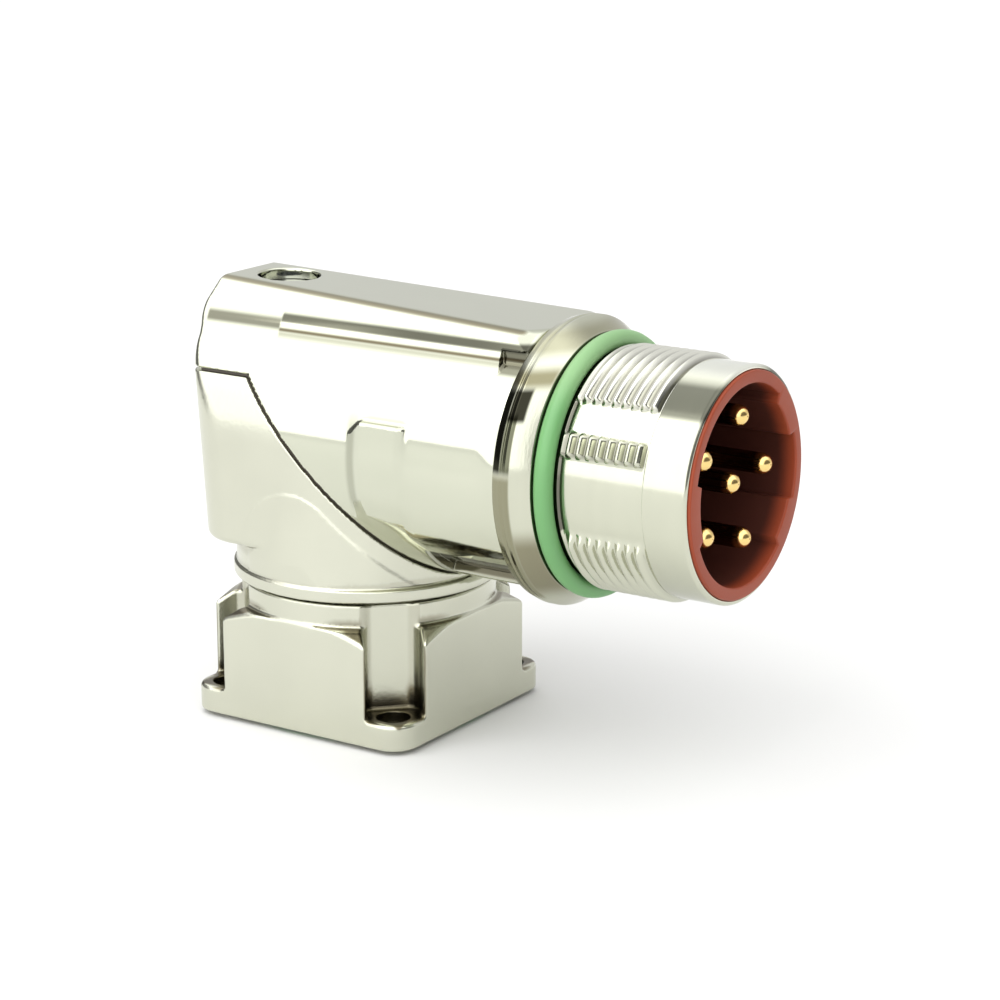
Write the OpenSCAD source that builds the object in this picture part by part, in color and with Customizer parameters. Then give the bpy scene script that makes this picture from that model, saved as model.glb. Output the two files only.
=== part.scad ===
// Angled circular receptacle: a male circular connector on an elbow that swivels on a square panel flange.
// The origin is the centre of the flange's mounting face. +Z is the swivel axis, +X points out of the barrel.
// Angles round the barrel are seen from its open end, from +Y towards +Z.

/* [Flange] */
// Side of the square flange
flange_side = 25.4; // [25:0.1:28]
// Thickness of the corner ears
ear_thick = 2.6; // [2:0.1:4]
// Corner radius of the ears
ear_corner_r = 2.6; // [1.5:0.1:3]
// Distance between neighbouring mounting holes
hole_spacing = 19.8; // [19.4:0.1:20.4]
// Diameter of a mounting hole
hole_d = 3.2; // [2.6:0.1:3.3]
// Width of the well above each ear, for a screw head
well_width = 5.6; // [5:0.1:6.4]
// Distance from the swivel axis to the flat back of a well
well_back = 11.9; // [11.6:0.1:12.3]
// Fillet in the back corners of a well
well_fillet = 1.2; // [0.6:0.1:2]
// Height of the square block above the mounting face
block_height = 11; // [9:0.5:14]
// Diameter of the circle where the chamfer of the block's corners starts
chamfer_start_d = 26.8; // [25.8:0.1:29]
// Angle of that chamfer below the horizontal
chamfer_angle = 31; // [20:1:40]
// Diameter of the duct that the wires come up through
wire_bore_d = 13.6; // [11:0.1:14]

/* [Panel seal] */
// Cord diameter of the ring that seals the flange to the panel
panel_seal_cord = 1.8; // [1.4:0.1:2]
// Outer diameter of that ring
panel_seal_d = 24.4; // [23:0.1:24.5]
// How far it stands proud of the mounting face
panel_seal_proud = 0.45; // [0.2:0.05:0.6]

/* [Swivel] */
// Diameter of the round shoulder under the elbow
shoulder_d = 25.2; // [24.6:0.1:25.4]
// Height of the shoulder above the block
shoulder_rise = 2.3; // [1.5:0.1:4]
// Outer diameter of the neck that the elbow turns on
neck_d = 18.4; // [17.5:0.1:18.6]
// Length of the elbow's bearing on the neck
bearing_length = 4; // [3.5:0.1:6]
// Axial gap above and below the bearing
swivel_gap = 0.3; // [0.2:0.05:0.5]
// Radial running clearance of the bearing
bearing_fit = 0.06; // [0.03:0.01:0.1]
// Cord diameter of the ring that seals the bearing
swivel_seal_cord = 1.5; // [1.2:0.1:1.7]
// Thickness of the retaining clip
clip_thick = 1; // [0.8:0.1:1.5]
// Depth of the clip's groove in the neck
clip_groove_depth = 0.7; // [0.5:0.1:0.9]
// Opening of the clip, as an angle
clip_opening = 50; // [30:5:70]
// Height of the neck's lip above the clip
neck_lip = 0.8; // [0.6:0.1:1.5]
// Diameter of the stop pin
stop_pin_d = 1.6; // [1.2:0.1:1.8]
// Diameter of the circle that the stop pin stands on
stop_circle_d = 22.8; // [22.4:0.1:23]
// Depth that the stop pin is pressed into the flange
stop_pin_seat = 4; // [3:0.1:6]
// Depth of the stop groove in the elbow
stop_groove_depth = 0.9; // [0.7:0.1:1]
// Swing of the elbow from stop to stop
swivel_range = 330; // [180:5:335]

/* [Elbow] */
// Height of the barrel's axis above the mounting face
axis_height = 27.8; // [27.4:0.1:34]
// Diameter of the elbow's body round the barrel's axis
body_d = 25; // [24.4:0.1:26]
// Diameter of the mitred wire duct
duct_d = 20.8; // [20.4:0.1:21.2]
// Diameter of the skirt round the swivel axis
skirt_d = 26.5; // [26.2:0.1:27]
// Diameter of the upright wall above the skirt
dome_wall_d = 25.9; // [25.6:0.1:26.2]
// Diameter of the dome that ends this wall
dome_d = 27.8; // [27.4:0.1:28.4]
// Height of the dome's centre above the skirt's lower edge
dome_lift = 4.1; // [3.6:0.1:4.6]
// Height of the fine groove above the skirt's lower edge
skirt_line_lift = 1.2; // [1:0.1:2]
// Width of the rim that the dome leaves along the seam
seam_rim = 1.2; // [0.8:0.1:2]
// Distance from the swivel axis to the back wall, at the height of the barrel's axis
rear_reach = 13.3; // [13:0.1:15]
// Radius of the back wall's upright corners
rear_corner_r = 5; // [3:0.1:6]
// Height of the back wall's lower edge above the skirt's lower edge
rear_lift = 3.9; // [3:0.1:6]
// Draft of the back wall
draft = 4; // [1:0.5:5]
// Height of the level part of the seam above the barrel's axis
seam_rise = 6.2; // [5:0.1:7]
// Thickness of the gasket in the seam
seam_gap = 0.3; // [0.25:0.05:0.6]
// How far the gasket lies in from the outer surface
gasket_inset = 0.25; // [0.1:0.05:0.5]

/* [Roof] */
// Height of the flat roof above the barrel's axis, over the swivel axis
roof_rise = 13.7; // [13.4:0.1:15]
// Slope of the roof, falling towards the barrel
roof_slope = 2.1; // [0:0.1:3]
// Width across the shoulders of the roof
roof_width = 16.4; // [15:0.1:17]
// Height of those shoulders above the barrel's axis
roof_shoulder = 12.05; // [11.5:0.05:12.5]
// Rounding of the shoulders
roof_round = 1.6; // [0.8:0.1:2.2]
// Angle of the roof's flanks below the horizontal
roof_flank = 37; // [30:1:45]
// Gap between the roof's front end and the barrel's collar
roof_gap = 0.3; // [0.2:0.1:2]
// Length of the pocket under each shoulder at the roof's front end
pocket_length = 2.4; // [1:0.1:4]
// Depth of that pocket, in from the shoulder
pocket_depth = 0.9; // [0.4:0.1:1.4]

/* [Side forms] */
// Distance from the swivel axis to the raised pad's near end
pad_start = 6.8; // [6:0.1:9]
// Length of the raised pad along the barrel
pad_length = 6.2; // [4:0.1:8]
// Height of the pad's top above the barrel's axis
pad_top = 4.6; // [3:0.1:6]
// Height of the pad
pad_height = 12; // [8:0.5:13]
// How far the pad stands proud
pad_proud = 0.45; // [0.2:0.05:0.8]
// Bevel round the pad
pad_bevel = 0.9; // [0.4:0.1:1.5]
// Distance between the pad and the shallow flat behind the collar
flat_gap = 0.4; // [0.3:0.1:2]
// Depth of that flat
flat_depth = 0.2; // [0.1:0.05:0.4]
// Angle of that flat's normal above the side
flat_tilt = 6; // [0:1:10]
// Depth of the undercut below each flank
undercut_depth = 0.9; // [0.4:0.1:1.2]
// Angle round the barrel, below the side, where the undercut starts
undercut_start = 43; // [35:1:50]
// Sweep of the undercut
undercut_sweep = 24; // [10:1:30]

/* [Housing screw] */
// Distance from the swivel axis to the screw that clamps the two housings
screw_back = 9.2; // [9:0.1:9.6]
// Thread diameter of the screw
screw_d = 3; // [2.5:0.5:3]
// Diameter of its head
screw_head_d = 5.5; // [4.5:0.1:5.6]
// Height of its head
screw_head_h = 2; // [1.6:0.1:2.2]
// Size of its hexagon socket across the corners
screw_socket_d = 2.8; // [2:0.1:3]
// Depth of the recess above the head
screw_recess = 0.7; // [0.2:0.1:1]
// Reach of the thread into the lower housing
screw_reach = 7; // [5:0.5:9]

/* [Barrel] */
// Distance from the swivel axis to the mating face
barrel_reach = 42.1; // [41.6:0.1:46]
// Distance from the swivel axis to the collar's back face
collar_reach = 23.4; // [23:0.1:24]
// Diameter of the collar
collar_d = 27.4; // [26.6:0.1:28]
// Width of the collar's rim
collar_rim = 1.3; // [1:0.1:2]
// Width of the cone in front of the rim
collar_cone = 2.1; // [1.5:0.1:2.6]
// Diameter at the cone's small end
cone_end_d = 24.6; // [24.2:0.1:25]
// Diameter of the smooth barrel
barrel_d = 22; // [21.8:0.1:22.4]
// Crest diameter of the interrupted thread
thread_d = 23; // [22.6:0.1:23.4]
// Pitch of that thread
thread_pitch = 1; // [0.9:0.1:1.5]
// Depth of its grooves in the solid
thread_depth = 0.38; // [0.2:0.02:0.4]
// Length of the thread
thread_length = 8.3; // [6:0.1:9]
// Gap between the barrel's ring and the thread
thread_relief = 0.1; // [0.05:0.05:0.5]
// Cord diameter of the barrel's ring
barrel_ring_cord = 1.8; // [1.4:0.1:2]
// Diameter of the seat under the ring, which runs on between the sectors of the thread
ring_seat_d = 21.4; // [21:0.1:21.7]
// Chamfer at the barrel's open end
rim_chamfer = 0.25; // [0.1:0.05:0.3]
// Wall round the bore for the insert's cup
cup_wall = 0.8; // [0.6:0.05:1]
// Ledge at the end of that bore, down to the bore for the rear of the insert
insert_ledge = 1.2; // [1:0.1:1.4]
// Wall round the insert's lip
lip_wall = 0.5; // [0.4:0.05:0.6]
// Cord diameter of the seal between the spigot and the elbow
joint_seal_cord = 1.2; // [1:0.1:1.4]

/* [Insert] */
// Thickness of the lip
lip_thick = 0.7; // [0.5:0.1:1]
// Thickness of the cup's side
cup_side = 0.6; // [0.5:0.05:0.8]
// Height of the key ribs in the cup
key_rise = 0.8; // [0.5:0.1:1]
// Depth of the socket
socket_depth = 10.6; // [9:0.1:11]
// Thickness of the cup's floor in front of the step
floor_lip = 1.5; // [1:0.1:2]
// Thickness of the insert behind the socket
insert_body = 8; // [7:0.1:9]
// Thickness of the contact retainer
retainer_thick = 6.4; // [4:0.1:7]
// Thickness of the internal circlip
circlip_thick = 0.9; // [0.7:0.1:1.2]
// Length of the barrel behind the circlip
spigot_tail = 1.4; // [1:0.1:2]

/* [Contacts] */
// Number of contacts round the middle one
ring_contacts = 5; // [5]
// Distance from the circle of contacts out to the bore for the rear of the insert
contact_margin = 2.55; // [2.3:0.05:2.8]
// Angle of the first contact
contact_phase = 4.8; // [0:0.1:10]
// Diameter of a pin
pin_d = 2; // [1.5:0.1:2]
// Distance from the mating face back to the pin tips
pin_setback = 0.9; // [0.5:0.1:3]
// Diameter of the collar that holds a contact
pin_collar_d = 3.2; // [2.8:0.1:3.4]
// Length of that collar
pin_collar_length = 1.45; // [1:0.05:2]
// Diameter of a contact's wire barrel
tail_d = 2.7; // [2.4:0.1:2.8]
// Length of the wire barrel behind the retainer
tail_length = 4.5; // [3:0.1:5]
// Diameter of the wire bore in a contact
wire_cup_d = 1.9; // [1.2:0.1:2]
// Depth of that bore
wire_cup_depth = 6; // [4:0.1:8]

/* [Hidden] */
$fn = 96;
// Radial fit of parts that seat in one another
seat_fit = 0.03;
// Overshoot of a cut past the face it opens
over = 1;
nickel = [0.80, 0.79, 0.72];
polished = [0.86, 0.86, 0.84];
green = [0.45, 0.78, 0.47];
brick = [0.62, 0.20, 0.11];
gold = [0.85, 0.68, 0.30];
black = [0.14, 0.14, 0.14];
steel = [0.55, 0.56, 0.58];

// Heights of the swivel, from the flange up
shoulder_top = block_height + shoulder_rise;
skirt_bottom = shoulder_top + swivel_gap;
ledge_top = skirt_bottom + bearing_length;
clip_bottom = ledge_top + swivel_gap;
clip_top = clip_bottom + clip_thick;
neck_top = clip_top + neck_lip;
rear_bottom = skirt_bottom + rear_lift;
swivel_seal_z = skirt_bottom + bearing_length / 2;
bearing_r = neck_d / 2 + bearing_fit;
duct_r = duct_d / 2;
body_r = body_d / 2;
clip_outer_r = duct_r - swivel_gap;
stop_groove_width = stop_pin_d + 2 * swivel_gap;
stop_half_angle = asin(stop_pin_d / stop_circle_d) + 0.4;
stop_block = 360 - swivel_range - 2 * stop_half_angle;

// Bores of the barrel and the insert in them, from the outside in
lip_d = barrel_d - 2 * lip_wall;
cup_bore_d = min(ring_seat_d, barrel_d) - 2 * cup_wall;
insert_bore_d = cup_bore_d - 2 * insert_ledge;
cup_d = cup_bore_d - 2 * cup_side;
key_d = cup_d - 2 * key_rise;
contact_circle_d = insert_bore_d - 2 * contact_margin;

// Stations along the barrel, from the mating face back
rim_seat = barrel_reach - lip_thick;
socket_floor = barrel_reach - socket_depth;
insert_step = socket_floor - floor_lip;
insert_back = socket_floor - insert_body;
retainer_front = insert_back - seat_fit;
retainer_back = retainer_front - retainer_thick;
circlip_front = retainer_back - seat_fit;
circlip_back = circlip_front - circlip_thick;
barrel_back = circlip_back - spigot_tail;
tail_end = retainer_back - tail_length;
pin_tip = barrel_reach - pin_setback;

// Stations along the barrel, from the collar forward
collar_front = collar_reach + collar_rim + collar_cone;
ring_centre = collar_front + seat_fit + barrel_ring_cord / 2;
thread_start = collar_front + barrel_ring_cord + thread_relief + thread_pitch / 2;
thread_end = thread_start + thread_length;
roof_front = collar_reach - roof_gap;
joint_seal_x = (collar_reach + circlip_front) / 2;

// Sectors of the interrupted thread, as pairs of start angle and sweep
thread_sectors = [[20, 116], [151, 13], [200, 116], [331, 13]];
// Sectors of the key ribs in the cup
key_sectors = [[20, 32], [168, 36], [312, 29]];
circlip_half_opening = 25;

// Points on an arc round c, from angle a0 to a1
function arc(c, r, a0, a1, n = 10) =
    [for (i = [0:n]) let (a = a0 + (a1 - a0) * i / n) c + r * [cos(a), sin(a)]];

// Place of contact i across the barrel: the ring first, the middle contact last
function contact_place(i) = i == ring_contacts ? [0, 0]
    : let (a = contact_phase + 360 * i / ring_contacts) contact_circle_d / 2 * [cos(a), sin(a)];

// Turns a form built round +Z so that it lies along the barrel, with its x towards +Y and its y up
module on_barrel() { translate([0, 0, axis_height]) rotate([90, 0, 90]) children(); }

// Tube between two radii and two heights
module tube(r_in, r_out, z0, z1) {
    translate([0, 0, z0]) linear_extrude(z1 - z0) difference() {
        circle(r_out);
        circle(r_in);
    }
}

module torus(mean_r, cord_d) { rotate_extrude() translate([mean_r, 0]) circle(cord_d / 2, $fn = 32); }

module rounded_square(side, r) {
    c = (side / 2 - r) * sqrt(2);
    polygon([for (q = [0:90:270]) each arc(c * [cos(45 + q), sin(45 + q)], r, q, q + 90)]);
}

// Plan of a screw-head well, opening towards +x
module well_plan() {
    h = well_width / 2;
    c = well_back + well_fillet;
    polygon(concat([[flange_side, h]], arc([c, h - well_fillet], well_fillet, 90, 180, 6),
        arc([c, well_fillet - h], well_fillet, 180, 270, 6), [[flange_side, -h]]));
}

// Swivel flange
module flange_base() {
    chamfer_r = chamfer_start_d / 2;
    chamfer_drop = (flange_side - chamfer_r) * tan(chamfer_angle);
    panel_groove_in = panel_seal_d / 2 - panel_seal_cord - seat_fit;
    color(nickel) difference() {
        union() {
            difference() {
                union() {
                    intersection() {
                        linear_extrude(block_height) rounded_square(flange_side, ear_corner_r);
                        rotate_extrude() polygon([[0, 0], [flange_side, 0],
                            [flange_side, block_height - chamfer_drop], [chamfer_r, block_height],
                            [0, block_height]]);
                    }
                    translate([0, 0, ear_thick]) cylinder(d = shoulder_d, h = shoulder_top - ear_thick);
                }
                for (a = [45:90:315])
                    rotate(a) translate([0, 0, ear_thick]) linear_extrude(shoulder_top) well_plan();
            }
            cylinder(d = neck_d, h = neck_top);
        }
        translate([0, 0, -over]) cylinder(d = wire_bore_d, h = neck_top + 2 * over);
        for (x = [-1, 1], y = [-1, 1])
            translate([x * hole_spacing / 2, y * hole_spacing / 2, -over])
                cylinder(d = hole_d, h = ear_thick + 2 * over);
        tube(panel_groove_in, panel_seal_d / 2 + seat_fit, -over, panel_seal_cord - panel_seal_proud);
        tube(neck_d / 2 - swivel_seal_cord + bearing_fit, neck_d,
            swivel_seal_z - swivel_seal_cord / 2 - seat_fit, swivel_seal_z + swivel_seal_cord / 2 + seat_fit);
        tube(neck_d / 2 - clip_groove_depth, neck_d, clip_bottom, clip_top);
        translate([-stop_circle_d / 2, 0, shoulder_top - stop_pin_seat])
            cylinder(d = stop_pin_d, h = stop_pin_seat + over);
    }
}

module flange_seal() {
    color(green) translate([0, 0, panel_seal_cord / 2 - panel_seal_proud])
        torus(panel_seal_d / 2 - panel_seal_cord / 2, panel_seal_cord);
}

module swivel_seal() {
    color(black) translate([0, 0, swivel_seal_z])
        torus(neck_d / 2 + bearing_fit - seat_fit - swivel_seal_cord / 2, swivel_seal_cord - 2 * seat_fit);
}

// Open ring in the neck's groove, which keeps the elbow on the neck
module swivel_clip() {
    color(steel) translate([0, 0, clip_bottom + seat_fit])
        rotate_extrude(start = 180 + clip_opening / 2, angle = 360 - clip_opening)
            translate([neck_d / 2 - clip_groove_depth + seat_fit, 0])
                square([clip_outer_r - neck_d / 2 + clip_groove_depth - seat_fit, clip_thick - 2 * seat_fit]);
}

module swivel_stop_pin() {
    color(steel) translate([-stop_circle_d / 2, 0, shoulder_top - stop_pin_seat])
        cylinder(d = stop_pin_d, h = stop_pin_seat + stop_groove_depth);
}

// Path of the seam from the back to the front, moved up by a normal shift: level, then down the mitre plane
function seam_path(shift) =
    let (reach = 3 * barrel_reach, rise = seam_rise + shift, knee = shift * sqrt(2) - rise)
    [[-reach, rise], [knee, rise], [knee + reach, rise - reach]];

// Stretches an outline in x and height across the whole width of the elbow
module across() {
    translate([0, 2 * body_d, axis_height]) rotate([90, 0, 0]) linear_extrude(4 * body_d) children();
}

// Region below the seam
module below_seam(shift) {
    path = seam_path(shift);
    across() polygon(concat(path, [[path[0][0], path[2][1]]]));
}

// Upright prism that rounds and drafts the back of the elbow
module rear_plan(inset) {
    w = body_r - inset;
    r = rear_corner_r - inset;
    corner_x = rear_corner_r - rear_reach;
    translate([0, 0, axis_height]) rotate([0, -draft, 0]) linear_extrude(4 * axis_height, center = true)
        polygon(concat([[barrel_reach, -body_d], [0, -body_d], [0, -w]], arc([corner_x, r - w], r, 270, 180),
            arc([corner_x, w - r], r, 180, 90), [[0, w], [0, body_d], [barrel_reach, body_d]]));
}

// Round body along the barrel's axis, from the back wall to the collar
module body_tube(inset) {
    intersection() {
        on_barrel() translate([0, 0, -2 * rear_reach])
            cylinder(r = body_r - inset, h = 2 * rear_reach + collar_reach);
        rear_plan(inset);
    }
}

// Straight walls that carry the body down behind the dome
module rear_walls() {
    w = body_r - 3 * seat_fit;
    intersection() {
        translate([-2 * rear_reach, -w, rear_bottom])
            cube([2 * rear_reach, 2 * w, axis_height - rear_bottom]);
        rear_plan(0);
    }
}

// Upright round body and skirt of the lower housing, round the swivel axis
module skirt() {
    translate([0, 0, skirt_bottom]) {
        cylinder(r = body_r - 2 * seat_fit, h = axis_height - swivel_gap - skirt_bottom);
        cylinder(d = skirt_d, h = skirt_line_lift);
    }
}

// Upright wall with a domed end that stands out of the body, from the skirt up to the rim along the seam
module dome() {
    r = dome_d / 2;
    centre = skirt_bottom + dome_lift;
    line_z = skirt_bottom + skirt_line_lift;
    line = swivel_gap / 2;
    difference() {
        intersection() {
            translate([0, 0, centre]) sphere(r);
            below_seam(-seam_gap / 2 - seam_rim);
            translate([0, 0, skirt_bottom]) cylinder(d = dome_wall_d, h = dome_d);
        }
        tube(dome_wall_d / 2 - line, dome_d, line_z - line, line_z + line);
    }
}

// Boss inside the lower housing that takes the housing screw
module screw_boss() {
    w = 2 * screw_d;
    translate([-rear_reach + seam_gap, -w / 2, axis_height + seam_rise - screw_reach - 2 * screw_d])
        cube([rear_reach - screw_back + w / 2, w, screw_reach + 2 * screw_d]);
}

module lower_housing() {
    stop_in = stop_circle_d / 2 - stop_groove_width / 2;
    color(nickel) difference() {
        intersection() {
            union() {
                difference() {
                    union() {
                        body_tube(0);
                        rear_walls();
                        skirt();
                        dome();
                    }
                    translate([0, 0, ledge_top]) cylinder(d = duct_d, h = 2 * axis_height);
                }
                screw_boss();
            }
            below_seam(-seam_gap / 2);
        }
        translate([0, 0, skirt_bottom - over]) {
            cylinder(r = bearing_r, h = bearing_length + 2 * over);
            rotate_extrude(start = stop_block / 2, angle = 360 - stop_block)
                translate([stop_in, 0]) square([stop_groove_width, stop_groove_depth + over]);
        }
        translate([-screw_back, 0, axis_height + seam_rise - screw_reach])
            cylinder(d = screw_d, h = screw_reach);
    }
}

// Flat gasket that follows the seam over the knee
module seam_gasket() {
    r = body_r - gasket_inset;
    half = sqrt(body_r * body_r - seam_rise * seam_rise) - gasket_inset;
    corner_r = rear_corner_r - gasket_inset;
    cx = rear_corner_r - rear_reach;
    cy = body_r - rear_corner_r;
    turn = asin((half - cy) / corner_r);
    sweep = 180 - asin(half / r);
    under_path = seam_path(seat_fit - seam_gap / 2);
    over_path = seam_path(seam_gap / 2 - seat_fit);
    color(black) difference() {
        intersection() {
            linear_extrude(2 * axis_height) difference() {
                polygon(concat(arc([0, 0], r, -sweep, sweep, 40), arc([cx, cy], corner_r, 180 - turn, 180),
                    arc([cx, -cy], corner_r, 180, 180 + turn)));
                circle(duct_r + gasket_inset);
            }
            across() polygon(concat(under_path, [over_path[2], over_path[1], over_path[0]]));
        }
        translate([-screw_back, 0, axis_height]) cylinder(d = screw_d + seam_gap, h = axis_height);
    }
}

// Cross-section of the roof, with its flanks and rounded shoulders
module roof_section() {
    c = [roof_width / 2 - roof_round, roof_shoulder - roof_round];
    flank = arc(c, roof_round, 0, 90 - roof_flank, 6);
    top = roof_rise + rear_reach * tan(roof_slope) + over;
    edge = flank[6];
    peak = [edge[0] - (top - edge[1]) / tan(roof_flank), top];
    half = concat([[roof_width / 2, 0]], flank, [peak]);
    polygon(concat(half, [for (i = [len(half) - 1:-1:0]) [-half[i][0], half[i][1]]]));
}

// Roof with a pocket under each shoulder in front of the collar
module roof() {
    difference() {
        intersection() {
            translate([-2 * rear_reach, 0, axis_height]) rotate([90, 0, 90])
                linear_extrude(2 * rear_reach + roof_front) roof_section();
            rear_plan(0);
            translate([0, 0, axis_height + roof_rise])
                rotate([0, roof_slope, 0]) translate([0, 0, -axis_height])
                cube([4 * barrel_reach, 2 * body_d, 2 * axis_height], center = true);
        }
        for (side = [0, 1]) mirror([0, side, 0])
            translate([roof_front - pocket_length, roof_width / 2 - pocket_depth, axis_height])
                cube([pocket_length + over, pocket_depth + over, roof_shoulder - roof_round / 2]);
    }
}

// Raised pad on each side of the body, flat above and round below, bevelled at its ends
module side_pads() {
    y = body_r + pad_proud;
    low = pad_top - pad_height;
    edge = (y - pad_top * sin(flat_tilt)) / cos(flat_tilt);
    rear = pad_start;
    front = pad_start + pad_length;
    intersection() {
        for (side = [0, 1]) mirror([0, side, 0]) on_barrel() linear_extrude(barrel_reach)
            polygon(concat([[0, low]], arc([0, 0], y, asin(low / y), flat_tilt, 16),
                [[edge, pad_top], [0, pad_top]]));
        linear_extrude(2 * axis_height)
            polygon([[rear, -duct_r], [rear + pad_bevel, -y], [front - pad_bevel, -y], [front, -duct_r],
                [front, duct_r], [front - pad_bevel, y], [rear + pad_bevel, y], [rear, duct_r]]);
    }
}

// Shallow flat on each side between the pad and the collar, and the undercut below it
module side_cuts() {
    flat_start = pad_start + pad_length + flat_gap;
    flat_end = collar_reach - 2 * flat_gap;
    cut_end = collar_reach - flat_gap;
    on_barrel() {
        for (a = [flat_tilt, 180 - flat_tilt]) rotate(a) translate([body_r - flat_depth, -body_r, flat_start])
            cube([body_r, body_d, flat_end - flat_start]);
        for (a = [-undercut_start - undercut_sweep, 180 + undercut_start])
            translate([0, 0, flat_start]) rotate_extrude(start = a, angle = undercut_sweep)
                translate([body_r - undercut_depth, 0]) square([undercut_depth + over, cut_end - flat_start]);
    }
}

module upper_housing() {
    head_seat = axis_height + roof_rise - screw_head_h - screw_recess;
    color(polished) difference() {
        union() {
            body_tube(0);
            roof();
            side_pads();
        }
        below_seam(seam_gap / 2);
        side_cuts();
        on_barrel() translate([0, 0, -seam_rise]) cylinder(d = duct_d, h = seam_rise + collar_reach + over);
        translate([-screw_back, 0, axis_height]) cylinder(d = screw_d + 2 * seat_fit, h = axis_height);
        translate([-screw_back, 0, head_seat]) cylinder(d = screw_head_d + 2 * swivel_gap, h = axis_height);
    }
}

// Socket-head screw that clamps the upper housing to the lower one
module housing_screw() {
    head_seat = axis_height + roof_rise - screw_head_h - screw_recess;
    tip = axis_height + seam_rise - screw_reach;
    color(steel) translate([-screw_back, 0, 0]) difference() {
        union() {
            translate([0, 0, tip]) cylinder(d = screw_d - 2 * seat_fit, h = head_seat - tip);
            translate([0, 0, head_seat]) cylinder(d = screw_head_d, h = screw_head_h);
        }
        translate([0, 0, head_seat + screw_head_h / 2])
            cylinder(d = screw_socket_d, h = screw_head_h, $fn = 6);
    }
}

// Ridges of a thread sector as points (radius, station), set along the helix by the sector's middle angle
function thread_ridges(middle) = let (valley = thread_d / 2 - thread_depth, land = thread_pitch / 10,
        last = floor(thread_length / thread_pitch), first_x = thread_start - thread_pitch * middle / 360)
    concat([for (k = [1:last]) let (x = first_x + k * thread_pitch)
        each [[valley, x - thread_pitch / 2], [thread_d / 2, x - land], [thread_d / 2, x + land]]],
        [[valley, first_x + (last + 0.5) * thread_pitch]]);

// Turned barrel: spigot, collar, ring seat, smooth barrel and the sectors that carry the thread
module threaded_barrel() {
    spigot_r = duct_r - seat_fit;
    seal_half = joint_seal_cord / 2 + seat_fit;
    seal_bed = duct_r - joint_seal_cord;
    circlip_bed = insert_bore_d / 2 + circlip_thick / 2;
    rim = collar_d / 2;
    r = barrel_d / 2;
    root = ring_seat_d / 2;
    thread_back = thread_start - thread_pitch / 2;
    valley = thread_d / 2 - thread_depth;
    inner = cup_bore_d / 2 + cup_wall / 2;
    color(nickel) on_barrel() difference() {
        union() {
            rotate_extrude() polygon([[insert_bore_d / 2, barrel_back], [spigot_r, barrel_back],
                [spigot_r, joint_seal_x - seal_half], [seal_bed, joint_seal_x - seal_half],
                [seal_bed, joint_seal_x + seal_half], [spigot_r, joint_seal_x + seal_half],
                [spigot_r, collar_reach], [rim - rim_chamfer, collar_reach],
                [rim, collar_reach + rim_chamfer], [rim, collar_reach + collar_rim],
                [cone_end_d / 2, collar_front], [root, collar_front], [root, thread_end],
                [r, thread_end], [r, barrel_reach - 2 * rim_chamfer],
                [r - rim_chamfer, barrel_reach - rim_chamfer],
                [lip_d / 2 + seat_fit, barrel_reach - rim_chamfer], [lip_d / 2 + seat_fit, rim_seat],
                [cup_bore_d / 2, rim_seat], [cup_bore_d / 2, insert_step], [insert_bore_d / 2, insert_step]]);
            for (s = thread_sectors) rotate_extrude(start = s[0], angle = s[1])
                polygon(concat([[inner, thread_back], [valley, thread_back]],
                    thread_ridges(s[0] + s[1] / 2), [[r, thread_end], [inner, thread_end + r - inner]]));
        }
        tube(insert_bore_d / 4, circlip_bed, circlip_back - seat_fit, circlip_front + seat_fit);
    }
}

module barrel_o_ring() {
    color(green) on_barrel() translate([0, 0, ring_centre])
        torus(ring_seat_d / 2 + seat_fit + barrel_ring_cord / 2, barrel_ring_cord);
}

module barrel_joint_seal() {
    color(black) on_barrel() translate([0, 0, joint_seal_x])
        torus(duct_r - joint_seal_cord / 2, joint_seal_cord - 2 * seat_fit);
}

// Moulded insert: lip, cup with key ribs, and the body that holds the contacts
module insulator() {
    cup_r = cup_d / 2;
    color(brick) on_barrel() difference() {
        union() {
            rotate_extrude() polygon([[0, insert_back], [insert_bore_d / 2 - seat_fit, insert_back],
                [insert_bore_d / 2 - seat_fit, insert_step + seat_fit],
                [cup_bore_d / 2 - seat_fit, insert_step + seat_fit],
                [cup_bore_d / 2 - seat_fit, rim_seat + seat_fit], [lip_d / 2, rim_seat + seat_fit],
                [lip_d / 2, barrel_reach], [cup_r, barrel_reach], [cup_r, socket_floor], [0, socket_floor]]);
            for (s = key_sectors) rotate_extrude(start = s[0], angle = s[1])
                translate([key_d / 2, socket_floor - seat_fit])
                    square([cup_r - key_d / 2 + seat_fit, socket_depth + seat_fit]);
        }
        for (i = [0:ring_contacts]) translate(contact_place(i)) {
            translate([0, 0, insert_back - over]) {
                cylinder(d = pin_d + 2 * seat_fit, h = insert_body + 2 * over);
                cylinder(d = pin_collar_d + 2 * seat_fit, h = pin_collar_length + 2 * seat_fit + over);
            }
        }
    }
}

module contact_retainer() {
    color(black) on_barrel() difference() {
        translate([0, 0, retainer_back]) cylinder(r = insert_bore_d / 2 - seat_fit, h = retainer_thick);
        for (i = [0:ring_contacts]) translate(contact_place(i)) translate([0, 0, retainer_back - over])
            cylinder(d = tail_d + 2 * seat_fit, h = retainer_thick + 2 * over);
    }
}

// Internal ring that keeps the retainer and the insert in the barrel
module insert_circlip() {
    outer = insert_bore_d / 2 + circlip_thick / 2 - seat_fit;
    inner = contact_circle_d / 2 + tail_d / 2 + seat_fit;
    color(steel) on_barrel() translate([0, 0, circlip_back])
        rotate_extrude(start = 270 + circlip_half_opening, angle = 360 - 2 * circlip_half_opening)
            translate([inner, 0]) square([outer - inner, circlip_thick]);
}

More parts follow.
